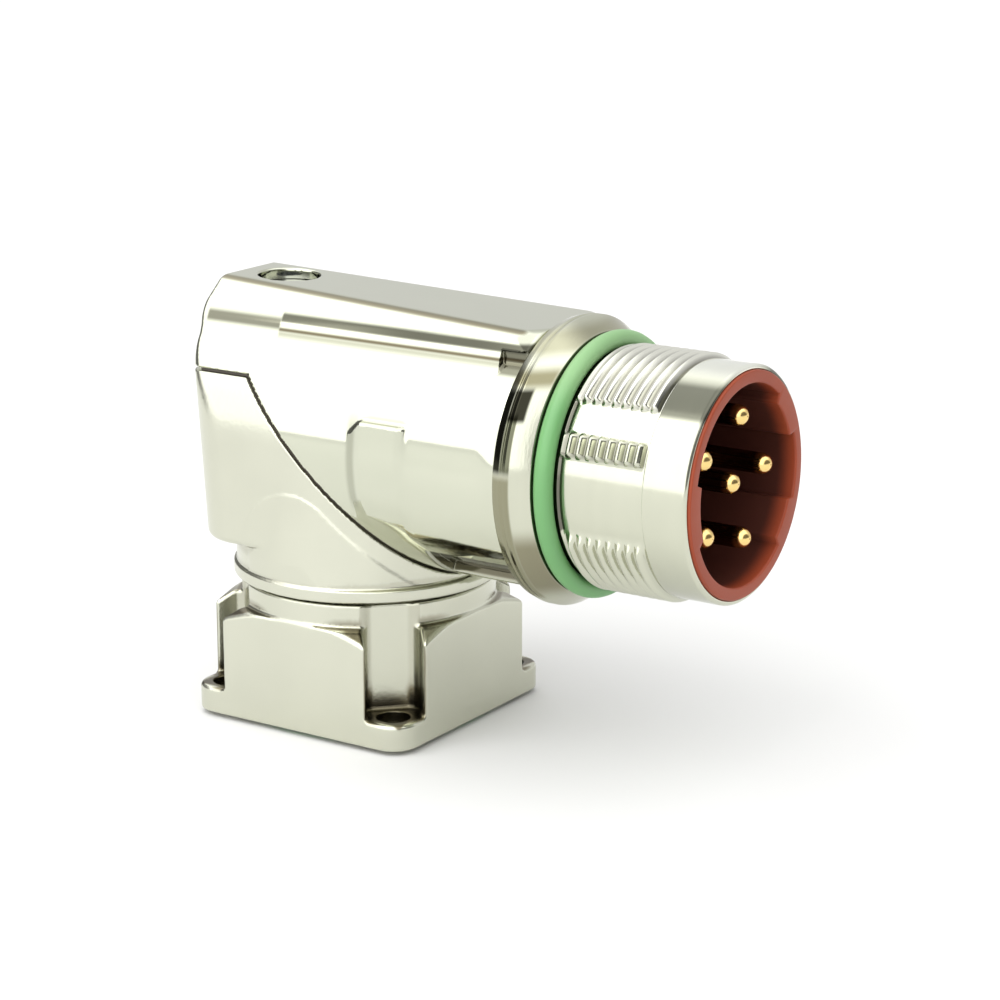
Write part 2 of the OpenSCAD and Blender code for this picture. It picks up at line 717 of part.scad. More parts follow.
// Turned contact: round-tipped pin, holding collar and wire barrel
module contact_pin(i) {
    tip_r = pin_d / 2;
    collar_back = insert_back + seat_fit;
    color(gold) on_barrel() translate(contact_place(i)) difference() {
        rotate_extrude() polygon(concat([[0, tail_end], [tail_d / 2, tail_end], [tail_d / 2, collar_back],
            [pin_collar_d / 2, collar_back], [pin_collar_d / 2, collar_back + pin_collar_length],
            [tip_r, collar_back + pin_collar_length]], arc([0, pin_tip - tip_r], tip_r, 0, 90, 6)));
        translate([0, 0, tail_end - over]) cylinder(d = wire_cup_d, h = wire_cup_depth + over);
    }
}

flange_base();
flange_seal();
swivel_seal();
swivel_clip();
swivel_stop_pin();
lower_housing();
seam_gasket();
upper_housing();
housing_screw();
threaded_barrel();
barrel_o_ring();
barrel_joint_seal();
insulator();
contact_retainer();
insert_circlip();
contact_pin(0);  // contact_pin_1
contact_pin(1);  // contact_pin_2
contact_pin(2);  // contact_pin_3
contact_pin(3);  // contact_pin_4
contact_pin(4);  // contact_pin_5
contact_pin(5);  // contact_pin_6
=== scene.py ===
"""Looks of the angled circular receptacle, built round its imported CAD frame.

The cast and turned metal pieces are rebuilt as fine meshes with small edge radii: the castings from distance
fields, the turned parts as revolved profiles. Sizes are in millimetres here and in metres in Blender.
The frame is the CAD's: origin at the centre of the mounting face, +Z the swivel axis, +X out of the barrel.
"""

import math

import bmesh
import bpy
import numpy as np
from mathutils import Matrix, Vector


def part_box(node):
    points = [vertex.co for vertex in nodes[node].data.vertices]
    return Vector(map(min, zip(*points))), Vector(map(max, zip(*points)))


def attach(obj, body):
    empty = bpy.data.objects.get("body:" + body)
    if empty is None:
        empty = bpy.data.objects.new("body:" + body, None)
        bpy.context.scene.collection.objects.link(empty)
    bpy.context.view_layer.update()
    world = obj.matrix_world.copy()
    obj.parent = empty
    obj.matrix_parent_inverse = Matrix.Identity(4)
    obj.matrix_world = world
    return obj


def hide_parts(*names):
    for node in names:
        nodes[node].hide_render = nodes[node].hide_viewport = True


MM = 0.001

bpy.ops.wm.read_factory_settings(use_empty=True)
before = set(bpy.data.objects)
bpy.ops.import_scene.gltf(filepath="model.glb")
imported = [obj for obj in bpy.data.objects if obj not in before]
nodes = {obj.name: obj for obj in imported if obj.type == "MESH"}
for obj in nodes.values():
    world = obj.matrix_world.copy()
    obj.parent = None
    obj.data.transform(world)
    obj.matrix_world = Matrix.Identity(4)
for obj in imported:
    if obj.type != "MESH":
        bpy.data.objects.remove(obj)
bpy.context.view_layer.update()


def span(node):
    """Lowest and highest corner of a CAD node in millimetres."""
    lo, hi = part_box(node)
    return np.array(lo) / MM, np.array(hi) / MM


# Corners of the nodes that drive the sizes
FLANGE_LO, FLANGE_HI = span("flange_base")
LOWER_LO, LOWER_HI = span("lower_housing")
UPPER_LO, UPPER_HI = span("upper_housing")
BARREL_LO, BARREL_HI = span("threaded_barrel")
RING_LO, RING_HI = span("barrel_o_ring")
SEAL_LO, SEAL_HI = span("flange_seal")
INSERT_LO, INSERT_HI = span("insulator")

# Sizes that those corners give
AXIS_Z = float((BARREL_LO[2] + BARREL_HI[2]) / 2)
FLANGE_HALF = float(FLANGE_HI[0])
COLLAR_X = float(UPPER_HI[0])
COLLAR_R = float(BARREL_HI[1])
MATING_X = float(INSERT_HI[0])
SKIRT_Z = float(LOWER_LO[2])
RING_CORD = float(RING_HI[0] - RING_LO[0])
LIP_R = float(INSERT_HI[1])
TIP_X = float(span("contact_pin_1")[1][0])

# Clearance of a fit
FIT = 0.03
# Numbers closer than this are the same
SAME = 1e-6

# Flange
EAR_THICK = 2.6
EAR_R = 2.6
HOLE_HALF = 9.9
HOLE_R = 1.6
HOLE_EDGE_R = 0.15
HOLE_OVERRUN = 1.0
WELL_BACK = 11.9
WELL_HALF = 2.8
WELL_FILLET = 1.2
WELL_FLOOR_R = 0.35
WELL_EDGE_R = 0.4
BLOCK_Z = 11.0
BLOCK_EDGE_R = 0.22
CHAMFER_R = 13.4
CHAMFER_ANGLE = math.radians(31)
CHAMFER_EDGE_R = 0.25
SHOULDER_R = 12.6
SHOULDER_Z = 13.3
SHOULDER_EDGE_R = 0.3
NECK_R = 9.2
NECK_EDGE_R = 0.25
WIRE_R = 6.8
WIRE_EDGE_R = 0.3
PANEL_GROOVE_W = 1.83
PANEL_GROOVE_Z = 1.35

# Lower housing, and what it holds on the flange's neck
BODY_R = 12.5
DUCT_R = 10.4
BEARING_R = 9.26
LEDGE_Z = SKIRT_Z + 4.0
CLIP_Z = (LEDGE_Z + 0.3, LEDGE_Z + 1.3)
CLIP_GROOVE_R = 8.5
SWIVEL_SEAL_Z = SKIRT_Z + 2.0
SEAL_GROOVE_R = 7.76
SEAL_GROOVE_HALF = 0.78
SKIRT_R = 13.25
SKIRT_LINE_Z = SKIRT_Z + 1.2
SKIRT_EDGE_R = 0.15
SKIRT_COVE_R = 0.25
SEAM_RISE = 6.2
SEAM_HALF = 0.15
SEAM_RIM = 1.2
SEAM_EDGE_R = 0.07
REAR_X = 13.3
REAR_R = 5.0
REAR_Z = SKIRT_Z + 3.9
REAR_FOOT_R = 0.7
DRAFT = math.radians(4)
STOP_R = 11.4
STOP_HALF = 1.1
STOP_DEPTH = 0.9
STOP_BLOCK = math.radians(10.2)
SCREW_X = 9.2
SCREW_R = 1.53
SCREW_DEPTH = 7.0
BOSS_WALL = 1.2
BOSS_HALF = 3.0
BOSS_DEPTH = 13.0

# Dome of the lower housing: its wall stands proud, runs out to the arch and the seam, and ends in a fine step
DOME_WALL_R = 12.95
DOME_PROUD = DOME_WALL_R - BODY_R
DOME_FILLET = 0.2
DOME_Z = SKIRT_Z + 4.1
DOME_ARCH_R = 6.1
DOME_TOP_Z = DOME_Z + DOME_ARCH_R
DOME_TAPER = 7.0
DOME_RUNOUT = 6.0
ARCH_STEP = 0.08
ARCH_SOFT = 0.45
ARCH_CORNER_R = 1.5

# Rounding of the back's upright corners, which starts behind a place and grows over a length
REAR_SOFT_X = -6.0
REAR_SOFT_RUN = 3.0
REAR_SOFT_RISE = 4.0
LOWER_REAR_R = 0.4
UPPER_REAR_R = 0.45

# Upper housing
ROOF_RISE = 13.7
ROOF_SLOPE = math.radians(2.1)
ROOF_HALF = 8.2
ROOF_SHOULDER = 12.05
ROOF_ROUND = 1.6
ROOF_FLANK = math.radians(37)
ROOF_FOOT = 2.0
ROOF_EDGE_R = 0.5
ROOF_FILLET = 0.35
ROOF_X = COLLAR_X - 0.3
ROOF_END_X = COLLAR_X - 0.04
ROOF_END_R = 0.1
ROOF_BEVEL_SLOPE = 0.55
ROOF_BEVEL_SCALE = 0.88
ROOF_BEVEL_DROP = 0.25
ROOF_BEVEL_R = 0.3
POCKET_LENGTH = 2.4
POCKET_DEPTH = 0.9
POCKET_EDGE_R = 0.12
PAD_X = (6.8, 13.0)
PAD_PROUD = 0.45
PAD_R = BODY_R + PAD_PROUD
PAD_RISE = (-7.4, 3.9)
PAD_RAMP = 1.4
PAD_BEVEL = 0.7
PAD_CHAMFER = 1.2
PAD_EDGE_R = 0.3
PAD_TOP_R = 0.25
PAD_FILLET = 0.3
PAD_FADE = 5.0
PAD_BLEND = 3.0
FLAT_X = (12.6, COLLAR_X - 0.6)
FLAT_RUN = (0.8, 2.4)
FLAT_R = 12.3
FLAT_HALF = 3.2
FLAT_TILT = math.radians(6)
UNDERCUT_R = 11.6
UNDERCUT_EDGE_R = 0.3
UNDERCUT = (math.radians(43), math.radians(67))
UNDERCUT_X = (13.4, COLLAR_X - 0.4)
RECESS_R = 3.05
RECESS_EDGE_R = 0.2
HEAD_SEAT_Z = AXIS_Z + ROOF_RISE - 2.7

# Painted shade on the flange: depth of each mark, and the two ends between which it sets in
WELL_SHADE_OUT = (WELL_BACK - 0.5, WELL_BACK - 0.2)
WELL_SHADE_SIDE = (WELL_HALF + 0.25, WELL_HALF + 0.05)
WELL_SHADE_RIM = (0.45, 0.85)
WELL_SHADE_HEIGHT = (-0.5, -0.2)
FLANK_SHADE_BASE = 0.16
FLANK_SHADE = 0.75
FLANK_SIDE = (1.3, 2.1)
FLANK_HEIGHT = (3.0, 0.6)
FOOT_SHADE = 0.5
FOOT_HEIGHT = (2.4, 0.4)
WELL_SEAT_SHADE = 0.75
SEAT_HEIGHT = (0.45, 0.15)
HOLE_SHADE = 0.58
HOLE_SHADE_R = HOLE_R + 0.1
HOLE_SHADE_HEIGHT = 0.3
FACET_SHADE_Y = 0.58
FACET_SHADE_X = 0.28
FACET_REACH = 0.12
FACET_OUT = (SHOULDER_R + 0.2, SHOULDER_R + 0.5)
FACET_SIDE = (5.4, 3.8)
FACET_RIM = (0.2, 0.4)
FACET_HEIGHT = 5.0

# Painted dark reflection along the edges of the roof's top
ROOF_LINE = 0.45
ROOF_LINE_REACH = (0.42, 0.22)

# Meshes of the cast pieces: grid, longest edge, and farthest step of a point on its way to the surface
GRID_STEP = 0.2
GRID_MARGIN = 2.3
LONGEST_EDGE = 0.9
LONGEST_MOVE = 0.2
# How far from a face an inner corner still darkens it with tarnish and painted shade
CAVITY_REACH = 1.2


# Distance fields: negative inside, in millimetres


def round_and(a, b, r):
    """Intersection with its edge rounded to radius r."""
    return np.minimum(-r, np.maximum(a, b)) + np.hypot(np.maximum(a + r, 0), np.maximum(b + r, 0))


def round_or(a, b, r):
    """Union with its inner corner filleted to radius r."""
    return -round_and(-a, -b, r)


def round_cut(a, b, r):
    """a without b, with the cut's edge rounded to radius r."""
    return round_and(a, -b, r)


def rounded_quarter(u, v, r):
    """Distance to a corner region u < r, v < r whose corner is rounded to radius r."""
    return np.minimum(np.maximum(u, v), 0) + np.hypot(np.maximum(u, 0), np.maximum(v, 0)) - r


def between(t, ends):
    """Distance to the slab between two ends."""
    return np.maximum(ends[0] - t, t - ends[1])


def set_in(t, ends):
    """Goes smoothly from 0 to 1 while t goes from the first end to the second, which may be the lower one."""
    t = np.clip((t - ends[0]) / (ends[1] - ends[0]), 0, 1)
    return t * t * (3 - 2 * t)


def step_up(t, width):
    """Rises from 0 to 1 while t goes from 0 to a width."""
    return set_in(t, (0, width))


def below_seam(x, z, shift):
    """Region under the mitred seam, moved up by a normal shift."""
    rise = z - AXIS_Z
    return np.maximum(rise - SEAM_RISE - shift, (x + rise) / math.sqrt(2) - shift)


def rear_plan(x, y, z):
    """Upright prism that rounds and drafts the back of the elbow."""
    along = x * math.cos(DRAFT) + (z - AXIS_Z) * math.sin(DRAFT)
    return rounded_quarter(-along - (REAR_X - REAR_R), np.abs(y) - (BODY_R - REAR_R), REAR_R)


def rear_soft(x, most):
    """Rounding where the back's upright corners cut the body, none where the two run into each other."""
    return most * np.clip((REAR_SOFT_X - x) / REAR_SOFT_RUN, 0, 1)


def chamfer_cone(r, z):
    """Distance to the cone that chamfers the flange's block."""
    return (r - CHAMFER_R) * math.sin(CHAMFER_ANGLE) + (z - BLOCK_Z) * math.cos(CHAMFER_ANGLE)


def flange_field(x, y, z):
    """Flange: square block with ears and wells, round shoulder and grooved neck."""
    ax, ay, r = np.abs(x), np.abs(y), np.hypot(x, y)
    core = FLANGE_HALF - EAR_R
    plan = rounded_quarter(ax - core, ay - core, EAR_R)
    block = round_and(plan, chamfer_cone(r, z), CHAMFER_EDGE_R)
    block = round_and(block, between(z, (0, BLOCK_Z)), BLOCK_EDGE_R)
    shoulder = round_and(r - SHOULDER_R, between(z, (EAR_THICK, SHOULDER_Z)), SHOULDER_EDGE_R)
    solid = round_or(block, shoulder, SHOULDER_EDGE_R)
    out, side = (ax + ay) / math.sqrt(2), np.abs(ax - ay) / math.sqrt(2)
    well = rounded_quarter(WELL_BACK + WELL_FILLET - out, side - (WELL_HALF - WELL_FILLET), WELL_FILLET)
    solid = round_cut(solid, round_and(well, EAR_THICK - z, WELL_FLOOR_R), WELL_EDGE_R)
    neck = round_and(r - NECK_R, between(z, (EAR_THICK, FLANGE_HI[2])), NECK_EDGE_R)
    solid = np.minimum(solid, neck)
    seal_z = (SWIVEL_SEAL_Z - SEAL_GROOVE_HALF, SWIVEL_SEAL_Z + SEAL_GROOVE_HALF)
    for groove_r, ends in ((SEAL_GROOVE_R, seal_z), (CLIP_GROOVE_R, CLIP_Z)):
        groove = np.maximum(groove_r - r, between(z, ends))
        solid = np.maximum(solid, -np.maximum(groove, SHOULDER_Z - z))
    solid = round_cut(solid, r - WIRE_R, WIRE_EDGE_R)
    panel_groove = between(r, (SEAL_HI[0] - PANEL_GROOVE_W, SEAL_HI[0] + FIT))
    solid = np.maximum(solid, -np.maximum(panel_groove, z - PANEL_GROOVE_Z))
    hole = np.hypot(ax - HOLE_HALF, ay - HOLE_HALF) - HOLE_R
    return round_cut(solid, np.maximum(hole, z - EAR_THICK - HOLE_OVERRUN), HOLE_EDGE_R)


def flange_shade_marks(x, y, z):
    """Painted shade in the screw-head wells, round the screw holes and on the chamfer's corners."""
    ax, ay, r, height = np.abs(x), np.abs(y), np.hypot(x, y), z - EAR_THICK
    out, side = (ax + ay) / math.sqrt(2), np.abs(ax - ay) / math.sqrt(2)
    rim = FLANGE_HALF - np.maximum(ax, ay)
    in_well = set_in(out, WELL_SHADE_OUT) * set_in(side, WELL_SHADE_SIDE)
    in_well = in_well * set_in(rim, WELL_SHADE_RIM) * set_in(height, WELL_SHADE_HEIGHT)
    flanks = set_in(side, FLANK_SIDE) * (FLANK_SHADE_BASE + FLANK_SHADE * set_in(height, FLANK_HEIGHT))
    foot = np.maximum(FOOT_SHADE * set_in(height, FOOT_HEIGHT), WELL_SEAT_SHADE * set_in(height, SEAT_HEIGHT))
    wells = in_well * np.maximum(flanks, foot)
    at_hole = np.hypot(ax - HOLE_HALF, ay - HOLE_HALF) < HOLE_SHADE_R
    hole = HOLE_SHADE * at_hole * (height < HOLE_SHADE_HEIGHT)
    cone = np.abs(chamfer_cone(r, z))
    from_facet = np.where(r > CHAMFER_R, cone, np.minimum(cone, np.abs(z - BLOCK_Z)))
    on_facet = (from_facet < FACET_REACH) * (height > FACET_HEIGHT)
    facet = np.where(ay > ax, FACET_SHADE_Y, FACET_SHADE_X) * on_facet
    facet = facet * set_in(r, FACET_OUT) * set_in(side, FACET_SIDE) * set_in(rim, FACET_RIM)
    return np.maximum(np.maximum(wells, hole), facet)


def lower_field(x, y, z):
    """Lower housing: drafted back, upright wall with its dome, skirt, bearing and stop."""
    ay, r, rise = np.abs(y), np.hypot(x, y), z - AXIS_Z
    side = np.where(rise > 0, np.hypot(y, rise), ay) - BODY_R
    rear_r = rear_soft(x, LOWER_REAR_R) * np.clip(rise / REAR_SOFT_RISE, 0, 1)
    back = round_and(side, rear_plan(x, y, z), rear_r)
    back = round_and(np.maximum(back, x), REAR_Z - z, REAR_FOOT_R)
    upright = np.maximum(r - BODY_R, rise)
    to_seam = below_seam(x, z, -SEAM_HALF - SEAM_RIM / 2) / DOME_RUNOUT
    to_end = (z - DOME_TOP_Z) / DOME_TAPER
    dome = r - DOME_WALL_R + DOME_PROUD * np.maximum(0, 1 + np.maximum(to_seam, to_end))
    arch = np.hypot(np.minimum(x, 0), np.maximum(z - DOME_Z, 0)) - DOME_ARCH_R
    arch = round_and(arch, below_seam(x, z, -SEAM_HALF - SEAM_RIM), ARCH_CORNER_R)
    wall = round_or(np.minimum(back, upright), dome, DOME_FILLET) - ARCH_STEP * step_up(-arch, ARCH_SOFT)
    skirt = round_and(r - SKIRT_R, z - SKIRT_LINE_Z, SKIRT_EDGE_R)
    solid = round_or(wall, skirt, SKIRT_COVE_R)
    solid = round_and(solid, SKIRT_Z - z, SKIRT_COVE_R)
    duct = np.maximum(r - DUCT_R, LEDGE_Z - z)
    solid = np.maximum(solid, -duct)
    boss = np.maximum(between(x, (BOSS_WALL - REAR_X, BOSS_HALF - SCREW_X)), ay - BOSS_HALF)
    boss = np.maximum(boss, between(rise, (SEAM_RISE - BOSS_DEPTH, SEAM_RISE)))
    solid = np.minimum(solid, boss)
    solid = round_and(solid, below_seam(x, z, -SEAM_HALF), SEAM_EDGE_R)
    solid = np.maximum(solid, BEARING_R - r)
    groove = np.maximum(between(r, (STOP_R - STOP_HALF, STOP_R + STOP_HALF)), z - SKIRT_Z - STOP_DEPTH)
    past_block = (STOP_BLOCK - np.abs(np.arctan2(y, x))) * STOP_R
    solid = np.maximum(solid, -np.maximum(groove, past_block))
    screw = np.maximum(np.hypot(x + SCREW_X, y) - SCREW_R + FIT, SEAM_RISE - SCREW_DEPTH - rise)
    return np.maximum(solid, -screw)


def roof_planes(x, y, z):
    """Distances to the planes of the roof's flank and top."""
    flank = (np.abs(y) - ROOF_HALF + ROOF_ROUND) * math.sin(ROOF_FLANK)
    flank = flank + (z - AXIS_Z - ROOF_SHOULDER + ROOF_ROUND) * math.cos(ROOF_FLANK) - ROOF_ROUND
    return flank, (z - AXIS_Z - ROOF_RISE) * math.cos(ROOF_SLOPE) + x * math.sin(ROOF_SLOPE)


def upper_shade_marks(x, y, z):
    """Painted dark reflection along the edges of the roof's top."""
    return ROOF_LINE * set_in(np.hypot(*roof_planes(x, y, z)), ROOF_LINE_REACH)


def with_roof(solid, x, y, z):
    """The round body with the roof on it, which has a pocket in each flank and a bevelled end."""
    ay, rise = np.abs(y), z - AXIS_Z
    flank, top = roof_planes(x, y, z)
    section = round_and(round_and(ay - ROOF_HALF, flank, ROOF_ROUND), top, ROOF_EDGE_R)
    roof = round_and(np.maximum(section, ROOF_FOOT - rise), x - ROOF_END_X, ROOF_END_R)
    pocket = np.maximum(ROOF_X - POCKET_LENGTH - x, ROOF_HALF - POCKET_DEPTH - ay)
    roof = round_cut(roof, np.maximum(pocket, rise - ROOF_SHOULDER + ROOF_ROUND / 2), POCKET_EDGE_R)
    bevel = np.hypot(y, rise) - COLLAR_R + ROOF_BEVEL_DROP - ROOF_BEVEL_SLOPE * (COLLAR_X - x)
    roof = round_and(roof, ROOF_BEVEL_SCALE * bevel, ROOF_BEVEL_R)
    return round_or(solid, roof, ROOF_FILLET)


def with_sides(solid, x, y, z):
    """The body with a shallow dent and a pad on each side. The pad fades out below."""
    ay, rise = np.abs(y), z - AXIS_Z
    on_side = ay > BODY_R / 2
    across = np.abs(rise * math.cos(FLAT_TILT) - ay * math.sin(FLAT_TILT))
    along = step_up(x - FLAT_X[0], FLAT_RUN[0]) * step_up(FLAT_X[1] - x, FLAT_RUN[1])
    solid = solid + (BODY_R - FLAT_R) * (1 - step_up(across, FLAT_HALF)) * along * on_side
    side_plane = ay * math.cos(FLAT_TILT) + rise * math.sin(FLAT_TILT)
    face = np.where(rise > ay * math.tan(FLAT_TILT), side_plane, np.hypot(y, rise)) - PAD_R
    pad = face
    for run, past in ((PAD_RAMP, PAD_X[0] + PAD_RAMP - x), (PAD_BEVEL, x + PAD_BEVEL - PAD_X[1])):
        pad = np.maximum(pad, (face * run + past * PAD_PROUD) / math.hypot(run, PAD_PROUD))
    corner = (rise - PAD_RISE[1] + PAD_CHAMFER + PAD_X[0] - x) / math.sqrt(2)
    pad = round_and(pad, np.maximum(between(x, PAD_X), corner), PAD_EDGE_R)
    full = round_or(solid, round_and(pad, rise - PAD_RISE[1], PAD_TOP_R), PAD_FILLET)
    ramps = np.clip(np.minimum((x - PAD_X[0]) / PAD_RAMP, (PAD_X[1] - x) / PAD_BEVEL), 0, 1)
    faded = solid - PAD_PROUD * ramps * step_up(rise - PAD_RISE[0], PAD_FADE) * on_side
    return full + (faded - full) * step_up(-rise, PAD_BLEND)


def upper_field(x, y, z):
    """Upper housing: round body with roof, pads, undercuts, duct and the screw's recess."""
    ay, rise = np.abs(y), z - AXIS_Z
    r = np.hypot(y, rise)
    solid = with_roof(np.maximum(r - BODY_R, x - COLLAR_X), x, y, z)
    solid = round_and(solid, rear_plan(x, y, z), rear_soft(x, UPPER_REAR_R))
    solid = with_sides(solid, x, y, z)
    after, before = (-rise * math.cos(angle) - ay * math.sin(angle) for angle in UNDERCUT)
    undercut = np.maximum(np.maximum(UNDERCUT_R - r, between(x, UNDERCUT_X)), np.maximum(-after, before))
    solid = round_cut(solid, undercut, UNDERCUT_EDGE_R)
    solid = round_and(solid, -below_seam(x, z, SEAM_HALF), SEAM_EDGE_R)
    solid = np.maximum(solid, -np.maximum(r - DUCT_R, -x - SEAM_RISE))
    from_screw = np.hypot(x + SCREW_X, y)
    solid = round_cut(solid, np.maximum(from_screw - RECESS_R, HEAD_SEAT_Z - z), RECESS_EDGE_R)
    return np.maximum(solid, -np.maximum(from_screw - SCREW_R, -rise))


# Meshes


def field_gradient(field, points, step=0.01):
    """Values of a field at points, and its unit gradient there."""
    value = field(*points.T)
    slopes = []
    for axis in range(3):
        shift = np.zeros(3)
        shift[axis] = step
        slopes.append(field(*(points + shift).T) - field(*(points - shift).T))
    slopes = np.stack(slopes, 1)
    return value, slopes / np.maximum(np.linalg.norm(slopes, axis=1, keepdims=True), 1e-9)


def settle(field, points, rounds):
    """Moves points onto the field's surface."""
    for _ in range(rounds):
        value, normal = field_gradient(field, points)
        points = points - normal * np.clip(value, -LONGEST_MOVE, LONGEST_MOVE)[:, None]
    return points


def field_surface(field, lo, hi, step):
    """Quads of the field's surface between two corners, by one vertex in each grid cell that it crosses."""
    margin = GRID_MARGIN * step
    lo = np.asarray(lo) - margin
    count = np.ceil((np.asarray(hi) + margin - lo) / step).astype(int) + 1
    axes = [lo[i] + step * np.arange(count[i]) for i in range(3)]
    y, z = np.meshgrid(axes[1], axes[2], indexing="ij")
    value = np.empty(count, np.float32)
    for i, x in enumerate(axes[0]):
        value[i] = field(np.full_like(y, x), y, z)
    inside = value < 0
    n = count - 1
    total = np.zeros(n, np.int8)
    corners = [(i, j, k) for i in (0, 1) for j in (0, 1) for k in (0, 1)]
    for i, j, k in corners:
        total += inside[i:i + n[0], j:j + n[1], k:k + n[2]]
    cell = np.argwhere((total > 0) & (total < 8))
    index = np.full(n, -1, np.int64)
    index[tuple(cell.T)] = np.arange(len(cell))
    where, hits = np.zeros((len(cell), 3)), np.zeros(len(cell))
    for a in corners:
        for b in corners:
            if sum(b) == sum(a) + 1 and all(q >= p for p, q in zip(a, b)):
                va, vb = (value[tuple((cell + c).T)] for c in (a, b))
                cross = (va < 0) != (vb < 0)
                t = np.where(cross, va / np.where(cross, va - vb, 1), 0)[:, None]
                where += np.where(cross[:, None], np.array(a) + t * (np.array(b) - np.array(a)), 0)
                hits += cross
    points = lo + step * (cell + where / hits[:, None])
    quads = []
    for axis in range(3):
        u, v = (axis + 1) % 3, (axis + 2) % 3
        ahead = np.roll(inside, -1, axis)
        change = inside != ahead
        for d in range(3):
            edge = [slice(None)] * 3
            edge[d] = slice(-1, None)
            change[tuple(edge)] = False
            if d != axis:
                edge[d] = slice(0, 1)
                change[tuple(edge)] = False
        at = np.argwhere(change)
        du, dv = np.eye(3, dtype=int)[u], np.eye(3, dtype=int)[v]
        ring = np.stack([index[tuple((at - p).T)] for p in (du + dv, dv, du * 0, du)], 1)
        leaving = inside[tuple(at.T)]
        ring[~leaving] = ring[~leaving][:, ::-1]
        quads.append(ring)
    return points, np.concatenate(quads)


def link(name, mesh, body, replaced):
    """Object of a mesh that rides on a body and stands for CAD nodes."""
    obj = bpy.data.objects.new(name, mesh)
    bpy.context.scene.collection.objects.link(obj)
    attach(obj, body)
    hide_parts(*replaced)
    return obj


def vertex_points(mesh):
    """Places of a mesh's vertices, in the mesh's own unit."""
    points = np.empty(len(mesh.vertices) * 3)
    mesh.vertices.foreach_get("co", points)
    return points.reshape(-1, 3)


def mark_cavities(mesh, depth):
    """Stores how dark each vertex is, 0 on open faces to 1 in deep corners, for tarnish and painted shade."""
    layer = mesh.attributes.new("cavity", "FLOAT", "POINT")
    layer.data.foreach_set("value", np.clip(depth, 0, 1).astype(np.float32))


def smooth(mesh, normals=None):
    """Smooth shading, with the vertices' own normals where they are given."""
    mesh.polygons.foreach_set("use_smooth", np.ones(len(mesh.polygons), bool))
    mesh.update()
    if normals is not None:
        mesh.normals_split_custom_set_from_vertices(normals)


def split_long(mesh, longest, rounds=3):
    """Splits edges longer than a length, so that what the vertices carry changes smoothly."""
    work = bmesh.new()
    work.from_mesh(mesh)
    for _ in range(rounds):
        edges = [e for e in work.edges if e.calc_length() > longest]
        bmesh.ops.subdivide_edges(work, edges=edges, cuts=1)
        bmesh.ops.triangulate(work, faces=[f for f in work.faces if len(f.verts) > 3])
    work.to_mesh(mesh)
    work.free()


def cast_piece(name, field, ends, body, replaced, keep, most, marks=None):
    """Piece with the surface of a field: a fine grid mesh, thinned to a share of its faces, then set back
    on the field. Inner corners get tarnish and painted shade up to most; marks gives more painted shade."""
    points, quads = field_surface(field, *ends, GRID_STEP)
    points = settle(field, points, 4)
    mesh = bpy.data.meshes.new(name)
    mesh.from_pydata(points, [], quads.tolist())
    mesh.update()
    obj = link(name, mesh, body, replaced)
    thin = obj.modifiers.new("thin", "DECIMATE")
    thin.ratio = keep
    graph = bpy.context.evaluated_depsgraph_get()
    thinned = bpy.data.meshes.new_from_object(obj.evaluated_get(graph))
    obj.modifiers.clear()
    obj.data = thinned
    thinned.name = name
    split_long(thinned, LONGEST_EDGE)
    thinned.validate()
    points = settle(field, vertex_points(thinned), 3)
    _, normals = field_gradient(field, points)
    thinned.vertices.foreach_set("co", (points * MM).ravel())
    # Tarnish and painted shade: darker the nearer a face lies to an inner corner
    depth = np.minimum(1 - field(*(points + normals * CAVITY_REACH).T) / CAVITY_REACH, most)
    mark_cavities(thinned, np.maximum(depth, marks(*points.T)) if marks else depth)
    smooth(thinned, normals)
    return obj


def closed_grid(name, points):
    """Mesh of a grid of points, of shape (nu, nv, 3) in millimetres, joined round both ways."""
    nu, nv = points.shape[:2]
    i, j = np.meshgrid(np.arange(nu), np.arange(nv), indexing="ij")
    i2, j2 = (i + 1) % nu, (j + 1) % nv
    quads = np.stack([i * nv + j, i2 * nv + j, i2 * nv + j2, i * nv + j2], -1).reshape(-1, 4)
    mesh = bpy.data.meshes.new(name)
    mesh.from_pydata((points * MM).reshape(-1, 3), [], quads.tolist())
    smooth(mesh)
    return mesh


def round_profile(corners, radius, steps=3):
    """Corner points (x, r) of a closed profile, each corner cut back and rounded to a radius."""
    corners = np.asarray(corners, float)
    longest_share = 0.45
    out = []
    for i, p in enumerate(corners):
        a, b = corners[i - 1] - p, corners[(i + 1) % len(corners)] - p
        la, lb = np.linalg.norm(a), np.linalg.norm(b)
        back = min(radius, la * longest_share, lb * longest_share)
        p0, p1 = p + a / la * back, p + b / lb * back
        for t in np.linspace(0, 1, steps + 1):
            out.append((1 - t) ** 2 * p0 + 2 * t * (1 - t) * p + t * t * p1)
    return np.array(out)


def fill_profile(profile, longest):
    """Adds points along a closed profile so that no step is longer than a length."""
    out = []
    for p, q in zip(profile, np.roll(profile, -1, 0)):
        n = max(1, int(np.ceil(np.linalg.norm(q - p) / longest)))
        out += [p + (q - p) * k / n for k in range(n)]
    return np.array(out)


def turned(name, profile, segments, body, replaced, centre=(0.0, 0.0), bulge=None):
    """Piece turned round a line along +X, from a closed profile (x, r).
    centre is the line's y and its height over the barrel's axis. bulge(x, r, angle) gives each point's radius
    where the piece isn't quite round."""
    angle = np.linspace(0, 2 * np.pi, segments, endpoint=False)
    x, turn = np.meshgrid(profile[:, 0], angle, indexing="ij")
    r = np.repeat(profile[:, 1:], segments, 1)
    if bulge is not None:
        r = bulge(x, r, turn)
    points = np.stack([x, centre[0] + r * np.cos(turn), AXIS_Z + centre[1] + r * np.sin(turn)], -1)
    return link(name, closed_grid(name, points), body, replaced)


# Cast pieces

